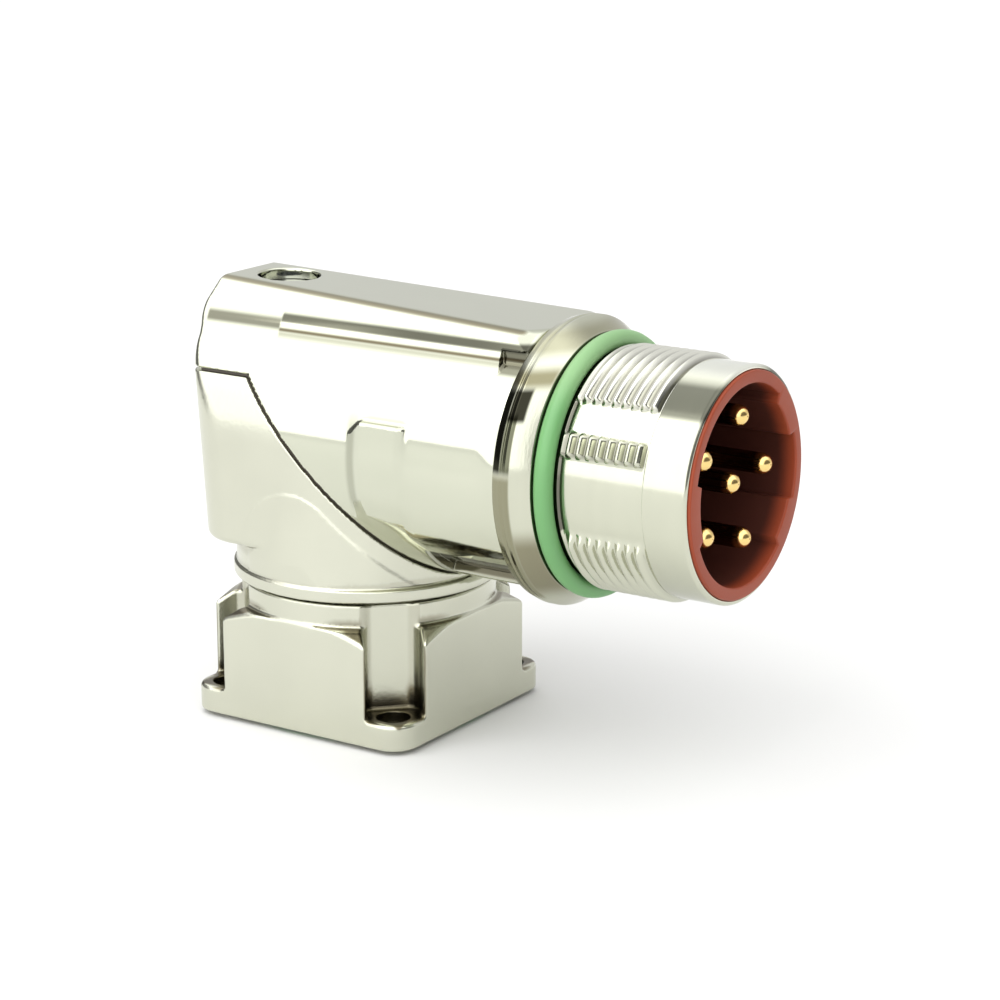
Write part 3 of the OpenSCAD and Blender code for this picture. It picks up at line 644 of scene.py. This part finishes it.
flange = cast_piece("flange_casting", flange_field, (FLANGE_LO, FLANGE_HI), "flange", ["flange_base"],
    keep=0.3, most=0.45, marks=flange_shade_marks)
lower = cast_piece("lower_casting", lower_field, (LOWER_LO, LOWER_HI), "elbow", ["lower_housing"],
    keep=0.35, most=0.15)
upper = cast_piece("upper_casting", upper_field, (UPPER_LO, UPPER_HI), "elbow", ["upper_housing"],
    keep=0.39, most=0.15, marks=upper_shade_marks)

# Turned barrel with its interrupted thread

SPIGOT_R = DUCT_R - FIT
BORE_R = 8.7
CUP_BORE_R = 9.9
BARREL_R = 11.0
BARREL_EDGE_R = 0.12
ROOT_R = 10.7
CREST_R = 11.5
CONE_R = 12.3
SEAT_R = 10.7
CONE_X = COLLAR_X + 3.4
RING_ROOM = 0.6
THREAD_LENGTH = 8.3
THREAD_X = (CONE_X + RING_CORD + RING_ROOM, CONE_X + RING_CORD + RING_ROOM + THREAD_LENGTH)
THREAD_LEAD = 0.5
THREAD_POINTS = 190
PITCH = 1.0
THREAD_DEPTH = 0.61
# Share of a pitch from a valley's middle to its edge, and share of its depth that is cut
VALLEY_HALF = 0.42
VALLEY_CUT = 0.9
ROOT_RUN = 0.1
FLOOR_X = MATING_X - 10.6
STEP_X = FLOOR_X - 1.5
FRONT_X = MATING_X - 0.25
FRONT_BEVEL = 0.25
LIP_SEAT_X = MATING_X - 0.7
TURN_SEGMENTS = 360
# Rim of the collar: distance from its rear face, and how far it lies inside the collar's radius
RIM_PROFILE = ((0, 0.36), (0.12, 0.24), (0.85, 0.04), (0.97, 0.04), (1.05, 0.16), (1.5, 0.03), (1.6, 0.06))
# Threaded sectors: first and last angle and the width of the soft start, in degrees
SECTORS = ((20, 136, 8), (151, 164, 2.4), (200, 316, 8), (331, 344, 2.4))
SOFT_END = 1.8
# Painted shade of the barrel: its depths, and where it lies
RING_SEAT_SHADE = 0.65
SEAT_BLEED = 0.4
SEAT_REACH = 0.1
VALLEY_SHADE_ABOVE = 0.4
VALLEY_SHADE_BELOW = 0.12
VALLEY_SHADE_X = (THREAD_X[0] - 0.45, THREAD_X[1] - 0.2)
VALLEY_SHADE_R = (CREST_R - 0.1, CREST_R - 0.5)
NEAR = 0.02
# Share of a sector below which a place counts as plain, and radius outside which a place isn't in the bore
PLAIN_SHARE = 0.01
OUTSIDE_R = CUP_BORE_R + 0.2


def within(turn, spans):
    """1 inside angle spans (start, end, width of the soft start) in degrees, 0 outside."""
    degrees = np.degrees(turn) % 360
    shares = [step_up(degrees - a, soft) * step_up(b - degrees, SOFT_END) for a, b, soft in spans]
    return np.max(shares, axis=0)


def thread_radius(x, r, turn):
    """Radius of the barrel's outside with the thread on its sectors: flat crests, V-shaped valleys."""
    run = np.minimum(x - THREAD_X[0] + THREAD_LEAD, THREAD_X[1] - x)
    envelope = BARREL_R + (CREST_R - BARREL_R) * np.clip(run / THREAD_LEAD, 0, 1)
    phase = ((x - THREAD_X[0]) / PITCH + turn / (2 * np.pi)) % 1
    valley = np.clip(1 - np.abs(phase - 0.5) / VALLEY_HALF, 0, 1)
    ridge = np.maximum(envelope - THREAD_DEPTH * np.minimum(valley, VALLEY_CUT), ROOT_R)
    root = BARREL_R - (BARREL_R - ROOT_R) * step_up(run, ROOT_RUN)
    outside = (np.abs(r - BARREL_R) < SAME) & (run > 0)
    return np.where(outside, root + (ridge - root) * within(turn, SECTORS), r)


def barrel_profile():
    """Closed profile of the barrel, with many points where the thread is cut."""
    inner = [(BARREL_LO[0], BORE_R), (BARREL_LO[0], SPIGOT_R), (COLLAR_X, SPIGOT_R)]
    rim = [(COLLAR_X + along, COLLAR_R - inside) for along, inside in RIM_PROFILE]
    lead_x = THREAD_X[0] - THREAD_LEAD
    seat = [(CONE_X, CONE_R), (CONE_X, SEAT_R), (lead_x, SEAT_R), (lead_x, BARREL_R)]
    front = [(FRONT_X - FRONT_BEVEL, BARREL_R), (FRONT_X, BARREL_R - FRONT_BEVEL), (FRONT_X, LIP_R + FIT)]
    cup = [(LIP_SEAT_X, LIP_R + FIT), (LIP_SEAT_X, CUP_BORE_R), (STEP_X, CUP_BORE_R), (STEP_X, BORE_R)]
    start = round_profile(inner + rim + seat + front + cup, BARREL_EDGE_R)
    first, last = np.flatnonzero(np.abs(start[:, 1] - BARREL_R) < SAME)[[0, -1]]
    fine = np.linspace(start[first, 0], start[last, 0], THREAD_POINTS)[:, None]
    fine = np.hstack([fine, np.full_like(fine, BARREL_R)])
    return np.vstack([start[:first], fine, start[last + 1:]])


def barrel_cavity(x, y, z):
    """Painted shade in the ring's seat and in the valleys of the thread."""
    r, turn = np.hypot(y, z - AXIS_Z), np.arctan2(z - AXIS_Z, y)
    on_sector = within(turn, SECTORS)
    seat_end = THREAD_X[0] - THREAD_LEAD + NEAR + SEAT_BLEED * (on_sector < PLAIN_SHARE)
    seat = (CONE_X - NEAR < x) & (x < seat_end) & (r > SEAT_R - SEAT_REACH)
    threaded = (between(x, VALLEY_SHADE_X) < 0) & (r > OUTSIDE_R)
    top, bottom = VALLEY_SHADE_R
    valley = on_sector * np.clip((top - r) / (top - bottom), 0, 1)
    valley = valley * np.where(z > AXIS_Z, VALLEY_SHADE_ABOVE, VALLEY_SHADE_BELOW)
    return np.where(seat, RING_SEAT_SHADE, np.where(threaded, valley, 0))


barrel = turned("barrel_turned", barrel_profile(), TURN_SEGMENTS, "elbow", ["threaded_barrel"],
    bulge=thread_radius)
mark_cavities(barrel.data, barrel_cavity(*(vertex_points(barrel.data) / MM).T))

# Rings, contacts and insert

RING_SEGMENTS = (180, 24)
PIN_COUNT = 6
PIN_SEGMENTS = 48
TIP_POINTS = 10
PIN_R = 1.0
PIN_COLLAR_R = 1.6
PIN_COLLAR_W = 1.45
TAIL_R = 1.35
WIRE_CUP_R = 0.95
WIRE_CUP_DEPTH = 6.0
# Radius that closes a turned piece at its axis
CLOSED_R = 0.004
CUP_R = 9.3
KEY_R = 8.5
KEY_REACH = 0.25
KEY_X = (FLOOR_X + 0.01, MATING_X + 0.01)
INSERT_EDGE_R = 0.22
INSERT_STEP = 1.2
# Key ribs: first and last angle and the width of the soft start, in degrees
KEYS = ((20, 52, 1), (168, 204, 1), (312, 341, 1))


def ring(name, body, replaced, slot, centre, normal_axis, mean_r, cord):
    """Round ring lying across an axis, 0 for X or 2 for Z."""
    u, v = (np.linspace(0, 2 * np.pi, count, endpoint=False) for count in RING_SEGMENTS)
    u, v = np.meshgrid(u, v, indexing="ij")
    r, h = mean_r + cord / 2 * np.cos(v), cord / 2 * np.sin(v)
    spread = [r * np.cos(u), r * np.sin(u)]
    points = np.stack([h, *spread] if normal_axis == 0 else [*spread, h], -1) + np.array(centre)
    return link(name, closed_grid(name, points), body, replaced)


def contact(number):
    """Contact with a round tip, a collar and a wire cup."""
    lo, hi = span(f"contact_pin_{number}")
    centre = ((lo + hi) / 2)[1:] - np.array([0, AXIS_Z])
    tail, point = lo[0], hi[0]
    collar = INSERT_LO[0] + FIT
    collar_end = collar + PIN_COLLAR_W
    cup = [(tail + WIRE_CUP_DEPTH, CLOSED_R), (tail + WIRE_CUP_DEPTH, WIRE_CUP_R), (tail, WIRE_CUP_R)]
    shank = [(tail, TAIL_R), (collar, TAIL_R), (collar, PIN_COLLAR_R), (collar_end, PIN_COLLAR_R)]
    shank += [(collar_end, PIN_R)]
    angles = np.linspace(0, math.pi / 2, TIP_POINTS)
    tip = [(point - PIN_R + PIN_R * math.sin(a), PIN_R * math.cos(a)) for a in angles]
    tip[-1] = (point, CLOSED_R)
    return turned(f"contact_{number}", np.array(cup + shank + tip), PIN_SEGMENTS, "elbow",
        [f"contact_pin_{number}"], centre=tuple(centre))


def keyed_radius(x, r, turn):
    """Radius of the cup's inside with the key ribs."""
    inside = (np.abs(r - CUP_R) < KEY_REACH) & (x > KEY_X[0]) & (x < KEY_X[1])
    return np.where(inside, r - (CUP_R - KEY_R) * within(turn, KEYS), r)


def insert_profile():
    """Closed profile of the insert: contact body, cup and lip."""
    body_r, cup_r, step, lip = BORE_R - FIT, CUP_BORE_R - FIT, STEP_X + FIT, LIP_SEAT_X + FIT
    outside = [(INSERT_LO[0], CLOSED_R), (INSERT_LO[0], body_r), (step, body_r), (step, cup_r), (lip, cup_r)]
    inside = [(lip, LIP_R), (MATING_X, LIP_R), (MATING_X, CUP_R), (FLOOR_X, CUP_R), (FLOOR_X, CLOSED_R)]
    return fill_profile(round_profile(outside + inside, INSERT_EDGE_R, 4), INSERT_STEP)


barrel_ring = ring("barrel_ring", "elbow", ["barrel_o_ring"], "green_rubber",
    ((RING_LO[0] + RING_HI[0]) / 2, 0, AXIS_Z), 0, RING_HI[1] - RING_CORD / 2, RING_CORD)
panel_cord = SEAL_HI[2] - SEAL_LO[2]
panel_ring = ring("panel_ring", "flange", ["flange_seal"], "green_rubber",
    (0, 0, (SEAL_LO[2] + SEAL_HI[2]) / 2), 2, SEAL_HI[0] - panel_cord / 2, panel_cord)
contacts = [contact(number) for number in range(1, PIN_COUNT + 1)]
insert = turned("insert_moulding", insert_profile(), TURN_SEGMENTS, "elbow", ["insulator"],
    bulge=keyed_radius)

# Materials

GRAIN_DEPTH = 0.05 * MM
# Noise values at which a surface has its darker and its lighter tone
TONE_STOPS = (0.3, 0.7)
# Cavity depths at which a surface has no darkening, its tarnish and painted shade, and deep painted shade
HOLLOW_TONE_STOPS = (0.06, 0.45, 1)
# Tones of the castings' tarnish with painted shade, the barrel's painted shade, and the deep painted shade
TARNISH_AND_SHADE = (0.34, 0.30, 0.24)
TURNED_SHADE = (0.40, 0.39, 0.39)
DEEP_SHADE = (0.05, 0.045, 0.035)


def shaded(tree, place, tone, limits, shade):
    """Tone multiplied by a shade inside limits (axis, low, high, soft), in millimetres in the CAD's frame.
    A shade above 1 brightens."""
    axes = tree.nodes.new("ShaderNodeSeparateXYZ")
    tree.links.new(place.outputs["Object"], axes.inputs["Vector"])
    share = None
    for axis, low, high, soft in limits:
        for edge, to_min, to_max in ((low, 0, 1), (high, 1, 0)):
            node = tree.nodes.new("ShaderNodeMapRange")
            node.interpolation_type = "SMOOTHSTEP"
            node.inputs["From Min"].default_value = (edge - soft) * MM
            node.inputs["From Max"].default_value = (edge + soft) * MM
            node.inputs["To Min"].default_value = to_min
            node.inputs["To Max"].default_value = to_max
            tree.links.new(axes.outputs[axis], node.inputs["Value"])
            part = node.outputs["Result"]
            if share is not None:
                both = tree.nodes.new("ShaderNodeMath")
                both.operation = "MULTIPLY"
                tree.links.new(share, both.inputs[0])
                tree.links.new(part, both.inputs[1])
                part = both.outputs["Value"]
            share = part
    mix = tree.nodes.new("ShaderNodeMix")
    mix.data_type, mix.blend_type = "RGBA", "MULTIPLY"
    mix.inputs["B"].default_value = (*shade, 1)
    tree.links.new(share, mix.inputs["Factor"])
    tree.links.new(tone, mix.inputs["A"])
    return mix.outputs["Result"]


def material(name, color, metallic, roughness, grain=0.0, grain_scale=900.0, tint=0.0, tint_scale=120.0,
        stretch=(1, 1, 1), rough_spread=0.0, gloss=0.5, tarnish_and_shade=None, bands=()):
    """Surface with fine grain in its bump, a slow change of tone and roughness, tarnish and painted shade by
    the cavity depth, and bands (limits, shade) of painted light and shade."""
    mat = bpy.data.materials.new(name)
    mat.use_nodes = True
    tree = mat.node_tree
    shader = tree.nodes["Principled BSDF"]
    shader.inputs["Base Color"].default_value = (*color, 1)
    shader.inputs["Metallic"].default_value = metallic
    shader.inputs["Roughness"].default_value = roughness
    shader.inputs["Specular IOR Level"].default_value = gloss
    place = tree.nodes.new("ShaderNodeTexCoord")
    scaled = tree.nodes.new("ShaderNodeMapping")
    scaled.inputs["Scale"].default_value = stretch
    tree.links.new(place.outputs["Object"], scaled.inputs["Vector"])

    def noise(scale, detail):
        n = tree.nodes.new("ShaderNodeTexNoise")
        n.inputs["Scale"].default_value = scale
        n.inputs["Detail"].default_value = detail
        tree.links.new(scaled.outputs["Vector"], n.inputs["Vector"])
        return n.outputs["Fac"]

    def ramp(value, positions, colors):
        node = tree.nodes.new("ShaderNodeValToRGB")
        for position in positions[2:]:
            node.color_ramp.elements.new(position)
        for element, position, shade in zip(node.color_ramp.elements, positions, colors):
            element.position = position
            element.color = (*shade, 1)
        tree.links.new(value, node.inputs["Fac"])
        return node.outputs["Color"]

    slow = noise(tint_scale, detail=4)
    darker, lighter = ([min(1, c * k) for c in color] for k in (1 - tint, 1 + tint))
    tone = ramp(slow, TONE_STOPS, (darker, lighter))
    # Tarnish and painted shade by the cavity depth
    if tarnish_and_shade:
        cavity = tree.nodes.new("ShaderNodeAttribute")
        cavity.attribute_name = "cavity"
        hollow_darkening = ramp(cavity.outputs["Fac"], HOLLOW_TONE_STOPS, ((1, 1, 1), tarnish_and_shade, DEEP_SHADE))
        mix = tree.nodes.new("ShaderNodeMix")
        mix.data_type, mix.blend_type = "RGBA", "MULTIPLY"
        mix.inputs["Factor"].default_value = 1
        tree.links.new(tone, mix.inputs["A"])
        tree.links.new(hollow_darkening, mix.inputs["B"])
        tone = mix.outputs["Result"]
    # Bands of painted light and shade
    for limits, shade in bands:
        tone = shaded(tree, place, tone, limits, shade)
    tree.links.new(tone, shader.inputs["Base Color"])
    if rough_spread:
        spread = tree.nodes.new("ShaderNodeMapRange")
        spread.inputs["To Min"].default_value = roughness - rough_spread
        spread.inputs["To Max"].default_value = roughness + rough_spread
        tree.links.new(slow, spread.inputs["Value"])
        tree.links.new(spread.outputs["Result"], shader.inputs["Roughness"])
    if grain:
        bump = tree.nodes.new("ShaderNodeBump")
        bump.inputs["Strength"].default_value = grain
        bump.inputs["Distance"].default_value = GRAIN_DEPTH
        tree.links.new(noise(grain_scale, detail=3), bump.inputs["Height"])
        tree.links.new(bump.outputs["Normal"], shader.inputs["Normal"])
    return mat


def band(rises, soft_rise, ends, soft_end, shade):
    """Shade between two heights over the barrel's axis and two places along it, with soft edges."""
    return (("Z", AXIS_Z + rises[0], AXIS_Z + rises[1], soft_rise), ("X", *ends, soft_end)), shade


# Where the roof's shoulder changes from its rear band to its front bands
SPLIT_X = -4.4
FRONT_ROOF = (SPLIT_X, COLLAR_X)
ROOF_POCKET = (ROOF_X - POCKET_LENGTH, COLLAR_X)
PAD_REAR = (PAD_X[0] - 0.2, PAD_X[0] + 0.8)
# Painted reflections and shade on the upper housing: rear shoulder, front shoulder, its end once more,
# pocket, rear edge of the pad, undercut, and a dark and a lighter line below the front shoulder
ROOF_BANDS = (
    band((10.45, 11.45), 0.25, (-13.2, SPLIT_X), 0.15, (0.30, 0.29, 0.27)),
    band((11.1, 11.9), 0.18, FRONT_ROOF, 0.15, (0.19, 0.185, 0.17)),
    band((11.1, 11.9), 0.18, (6, COLLAR_X), 6, (0.5, 0.5, 0.5)),
    band((9.2, 11.2), 0.2, ROOF_POCKET, 0.05, (0.35, 0.34, 0.31)),
    band((-4.5, 4), 0.8, PAD_REAR, 0.3, (0.72, 0.72, 0.7)),
    band((-11.3, -8.7), 0.25, UNDERCUT_X, 0.2, (0.2, 0.185, 0.16)),
    band((10.3, 10.6), 0.12, FRONT_ROOF, 0.15, (0.26, 0.22, 0.17)),
    band((9.8, 10.3), 0.3, FRONT_ROOF, 0.15, (0.62, 0.61, 0.58)))
# Ends of the collar's rear and front rim
RIM_X = (COLLAR_X - 1, COLLAR_X + 0.85, COLLAR_X + 1.8)
REAR_RIM, FRONT_RIM = RIM_X[:2], RIM_X[1:]
COLLAR_ENDS = (RIM_X[0], CONE_X)
FRONT_END = MATING_X + 1
# Painted reflections and highlights of the barrel: three dark places of the rims above the middle,
# bright top of the thread and of the smooth front, darker collar above the rims, darker lower rims and
# cone, darker top of the collar, and the dark band of the smooth front
BARREL_BANDS = (
    band((1.5, 8.6), 0.4, REAR_RIM, 0.06, (0.045, 0.045, 0.037)),
    band((1.5, 6.6), 0.4, FRONT_RIM, 0.06, (0.23, 0.235, 0.19)),
    band((6.0, 8.7), 0.3, (RIM_X[1], RIM_X[2] + 0.5), 0.12, (0.05, 0.048, 0.04)),
    band((7.8, 12), 0.4, (THREAD_X[0] - 1, THREAD_X[1] - 0.1), 0.1, (1.38, 1.36, 1.5)),
    band((10.5, 12), 0.4, (THREAD_X[1], FRONT_END), 0.1, (1.58, 1.58, 1.75)),
    band((8.8, 10.2), 0.5, COLLAR_ENDS, 0.3, (0.40, 0.37, 0.28)),
    band((-11.5, 1.2), 0.5, (RIM_X[0], RIM_X[2]), 0.1, (0.48, 0.46, 0.38)),
    band((-11, -4.6), 1.2, (RIM_X[2], CONE_X), 0.1, (0.46, 0.43, 0.36)),
    band((11.3, 13.1), 0.5, COLLAR_ENDS, 0.2, (0.68, 0.66, 0.58)),
    band((7.3, 10), 0.4, (THREAD_X[1] - 0.1, FRONT_END), 0.1, (0.21, 0.21, 0.2)))
# Painted highlight on the top of the barrel's ring
RING_BANDS = (((("Z", AXIS_Z + 8.5, AXIS_Z + 15, 2),), (1.6, 1.2, 1.45)),)
# Depth of the socket, away from the light at its mouth
SOCKET_BANDS = (((("X", FLOOR_X - 3, MATING_X - 1, 1),), (0.2, 0.32, 0.55)),)
# Painted shade on the shanks of the contacts
PIN_BANDS = (((("X", FLOOR_X - 3, TIP_X - 1.25, 0.25),), (0.16, 0.12, 0.09)),)

satin = material("satin_nickel", (0.62, 0.625, 0.52), 1.0, 0.25, grain=0.25, grain_scale=2600, tint=0.03,
    rough_spread=0.04, tarnish_and_shade=TARNISH_AND_SHADE)
polish = material("polished_nickel", (0.61, 0.625, 0.51), 1.0, 0.08, grain=0.05, grain_scale=500, tint=0.02,
    rough_spread=0.02, tarnish_and_shade=TARNISH_AND_SHADE, bands=ROOF_BANDS)
turned_metal = material("turned_nickel", (0.605, 0.615, 0.50), 1.0, 0.15, grain=0.12, tint=0.02,
    stretch=(6, 1, 1), rough_spread=0.03, tarnish_and_shade=TURNED_SHADE, bands=BARREL_BANDS)
green = material("green_rubber", (0.14, 0.345, 0.125), 0.0, 0.42, grain=0.1, grain_scale=1500, tint=0.05,
    bands=RING_BANDS)
black = material("black_rubber", (0.05, 0.04, 0.03), 0.0, 0.55, grain=0.1, grain_scale=1500, tint=0.1)
steel = material("spring_steel", (0.55, 0.56, 0.58), 1.0, 0.25, grain=0.1, grain_scale=1500, tint=0.05)
brick = material("brick_plastic", (0.30, 0.055, 0.022), 0.0, 0.38, grain=0.1, grain_scale=1200, tint=0.06,
    gloss=0.25, bands=SOCKET_BANDS)
plastic = material("black_plastic", (0.03, 0.03, 0.03), 0.0, 0.45, grain=0.1, grain_scale=1200, tint=0.1)
gold = material("gold_contact", (0.90, 0.66, 0.26), 1.0, 0.16, grain=0.05, tint=0.03, bands=PIN_BANDS)


def paint(obj, mat):
    """Gives an object one material."""
    obj.data.materials.clear()
    obj.data.materials.append(mat)


finishes = [(flange, satin), (lower, satin), (upper, polish), (barrel, turned_metal), (barrel_ring, green),
    (panel_ring, green), (insert, brick)]
finishes += [(piece, gold) for piece in contacts]
inner_finishes = (("swivel_seal", black), ("swivel_clip", steel), ("swivel_stop_pin", steel),
    ("seam_gasket", black), ("housing_screw", steel), ("barrel_joint_seal", black),
    ("contact_retainer", plastic), ("insert_circlip", steel))
finishes += [(nodes[node], mat) for node, mat in inner_finishes]
for obj, mat in finishes:
    paint(obj, mat)

# Floor, light and camera

# Sizes and distances of the stage are in metres
FLOOR_HALF = 3.0
TENT_STRENGTH = 2.0
KEY_AZIMUTH = math.radians(-20)
KEY_ELEVATION = math.radians(50)
KEY_DISTANCE = 0.6
KEY_SIZE = (0.5, 0.4)
KEY_POWER = 0.9
SENSOR_WIDTH = 36
CAMERA_REACH = (0.01, 20)
CAMERA_TARGET = Vector((15.514, 0, 22.555)) * MM
CAMERA_AZIMUTH = math.radians(33.265)
CAMERA_ELEVATION = math.radians(15.081)
CAMERA_DISTANCE = 267.6 * MM
FOCAL_PIXELS = 2811.8
FRAME_PIXELS = 1000


def away(azimuth, elevation):
    """Unit vector from the object towards an azimuth and elevation, in radians."""
    level = math.cos(elevation)
    return Vector((math.sin(azimuth) * level, -math.cos(azimuth) * level, math.sin(elevation)))


def aim(obj, direction, distance):
    """Puts an object at a distance from the camera's target and points it at that target."""
    bpy.context.scene.collection.objects.link(obj)
    obj.location = CAMERA_TARGET + direction * distance
    obj.rotation_mode = "QUATERNION"
    obj.rotation_quaternion = (-direction).to_track_quat("-Z", "Y")


floor_mesh = bpy.data.meshes.new("floor")
floor_z = float(SEAL_LO[2]) * MM
floor_corners = [(FLOOR_HALF * u, FLOOR_HALF * v, floor_z) for u, v in ((-1, -1), (1, -1), (1, 1), (-1, 1))]
floor_mesh.from_pydata(floor_corners, [], [(0, 1, 2, 3)])
floor = bpy.data.objects.new("floor", floor_mesh)
bpy.context.scene.collection.objects.link(floor)
paint(floor, material("floor_white", (0.72, 0.72, 0.715), 0.0, 0.9, tint=0.004, tint_scale=3))

key_data = bpy.data.lights.new("key", "AREA")
key_data.shape = "RECTANGLE"
key_data.size, key_data.size_y = KEY_SIZE
key_data.energy = KEY_POWER
aim(bpy.data.objects.new("key", key_data), away(KEY_AZIMUTH, KEY_ELEVATION), KEY_DISTANCE)

# Light tent: white in front and above, darker at its open sides, behind and at the opening overhead
world = bpy.data.worlds.new("studio")
bpy.context.scene.world = world
world.use_nodes = True
tent = world.node_tree
tent_place = tent.nodes.new("ShaderNodeTexCoord")
tent_axes = tent.nodes.new("ShaderNodeSeparateXYZ")
tent.links.new(tent_place.outputs["Generated"], tent_axes.inputs["Vector"])


def tent_shade(value, dark_from, dark_at, darkness):
    """Factor that falls from 1 to 1 - darkness while a value goes from dark_from to dark_at."""
    node = tent.nodes.new("ShaderNodeMapRange")
    node.interpolation_type = "SMOOTHSTEP"
    node.inputs["From Min"].default_value = dark_from
    node.inputs["From Max"].default_value = dark_at
    node.inputs["To Min"].default_value = 1
    node.inputs["To Max"].default_value = 1 - darkness
    tent.links.new(value, node.inputs["Value"])
    return node.outputs["Result"]


def tent_math(operation, *values):
    """Result of a maths node of the tent."""
    node = tent.nodes.new("ShaderNodeMath")
    node.operation = operation
    for value, socket in zip(values, node.inputs):
        tent.links.new(value, socket)
    return node.outputs["Value"]


sideways = tent_math("ABSOLUTE", tent_axes.outputs["X"])
sides = tent_shade(sideways, dark_from=0.66, dark_at=0.85, darkness=0.9)
rear = tent_shade(tent_axes.outputs["Y"], dark_from=0.3, dark_at=0.75, darkness=0.6)
overhead = tent_shade(tent_axes.outputs["Z"], dark_from=0.88, dark_at=0.95, darkness=0.2)
tent_tone = tent_math("MULTIPLY", tent_math("MULTIPLY", sides, rear), overhead)
tent.links.new(tent_tone, tent.nodes["Background"].inputs["Color"])
tent.nodes["Background"].inputs["Strength"].default_value = TENT_STRENGTH
bpy.context.scene.view_settings.view_transform = "Standard"

camera_data = bpy.data.cameras.new("camera")
camera_data.sensor_width = SENSOR_WIDTH
camera_data.lens = FOCAL_PIXELS / FRAME_PIXELS * SENSOR_WIDTH
camera_data.clip_start, camera_data.clip_end = CAMERA_REACH
camera = bpy.data.objects.new("camera", camera_data)
aim(camera, away(CAMERA_AZIMUTH, CAMERA_ELEVATION), CAMERA_DISTANCE)
bpy.context.scene.camera = camera
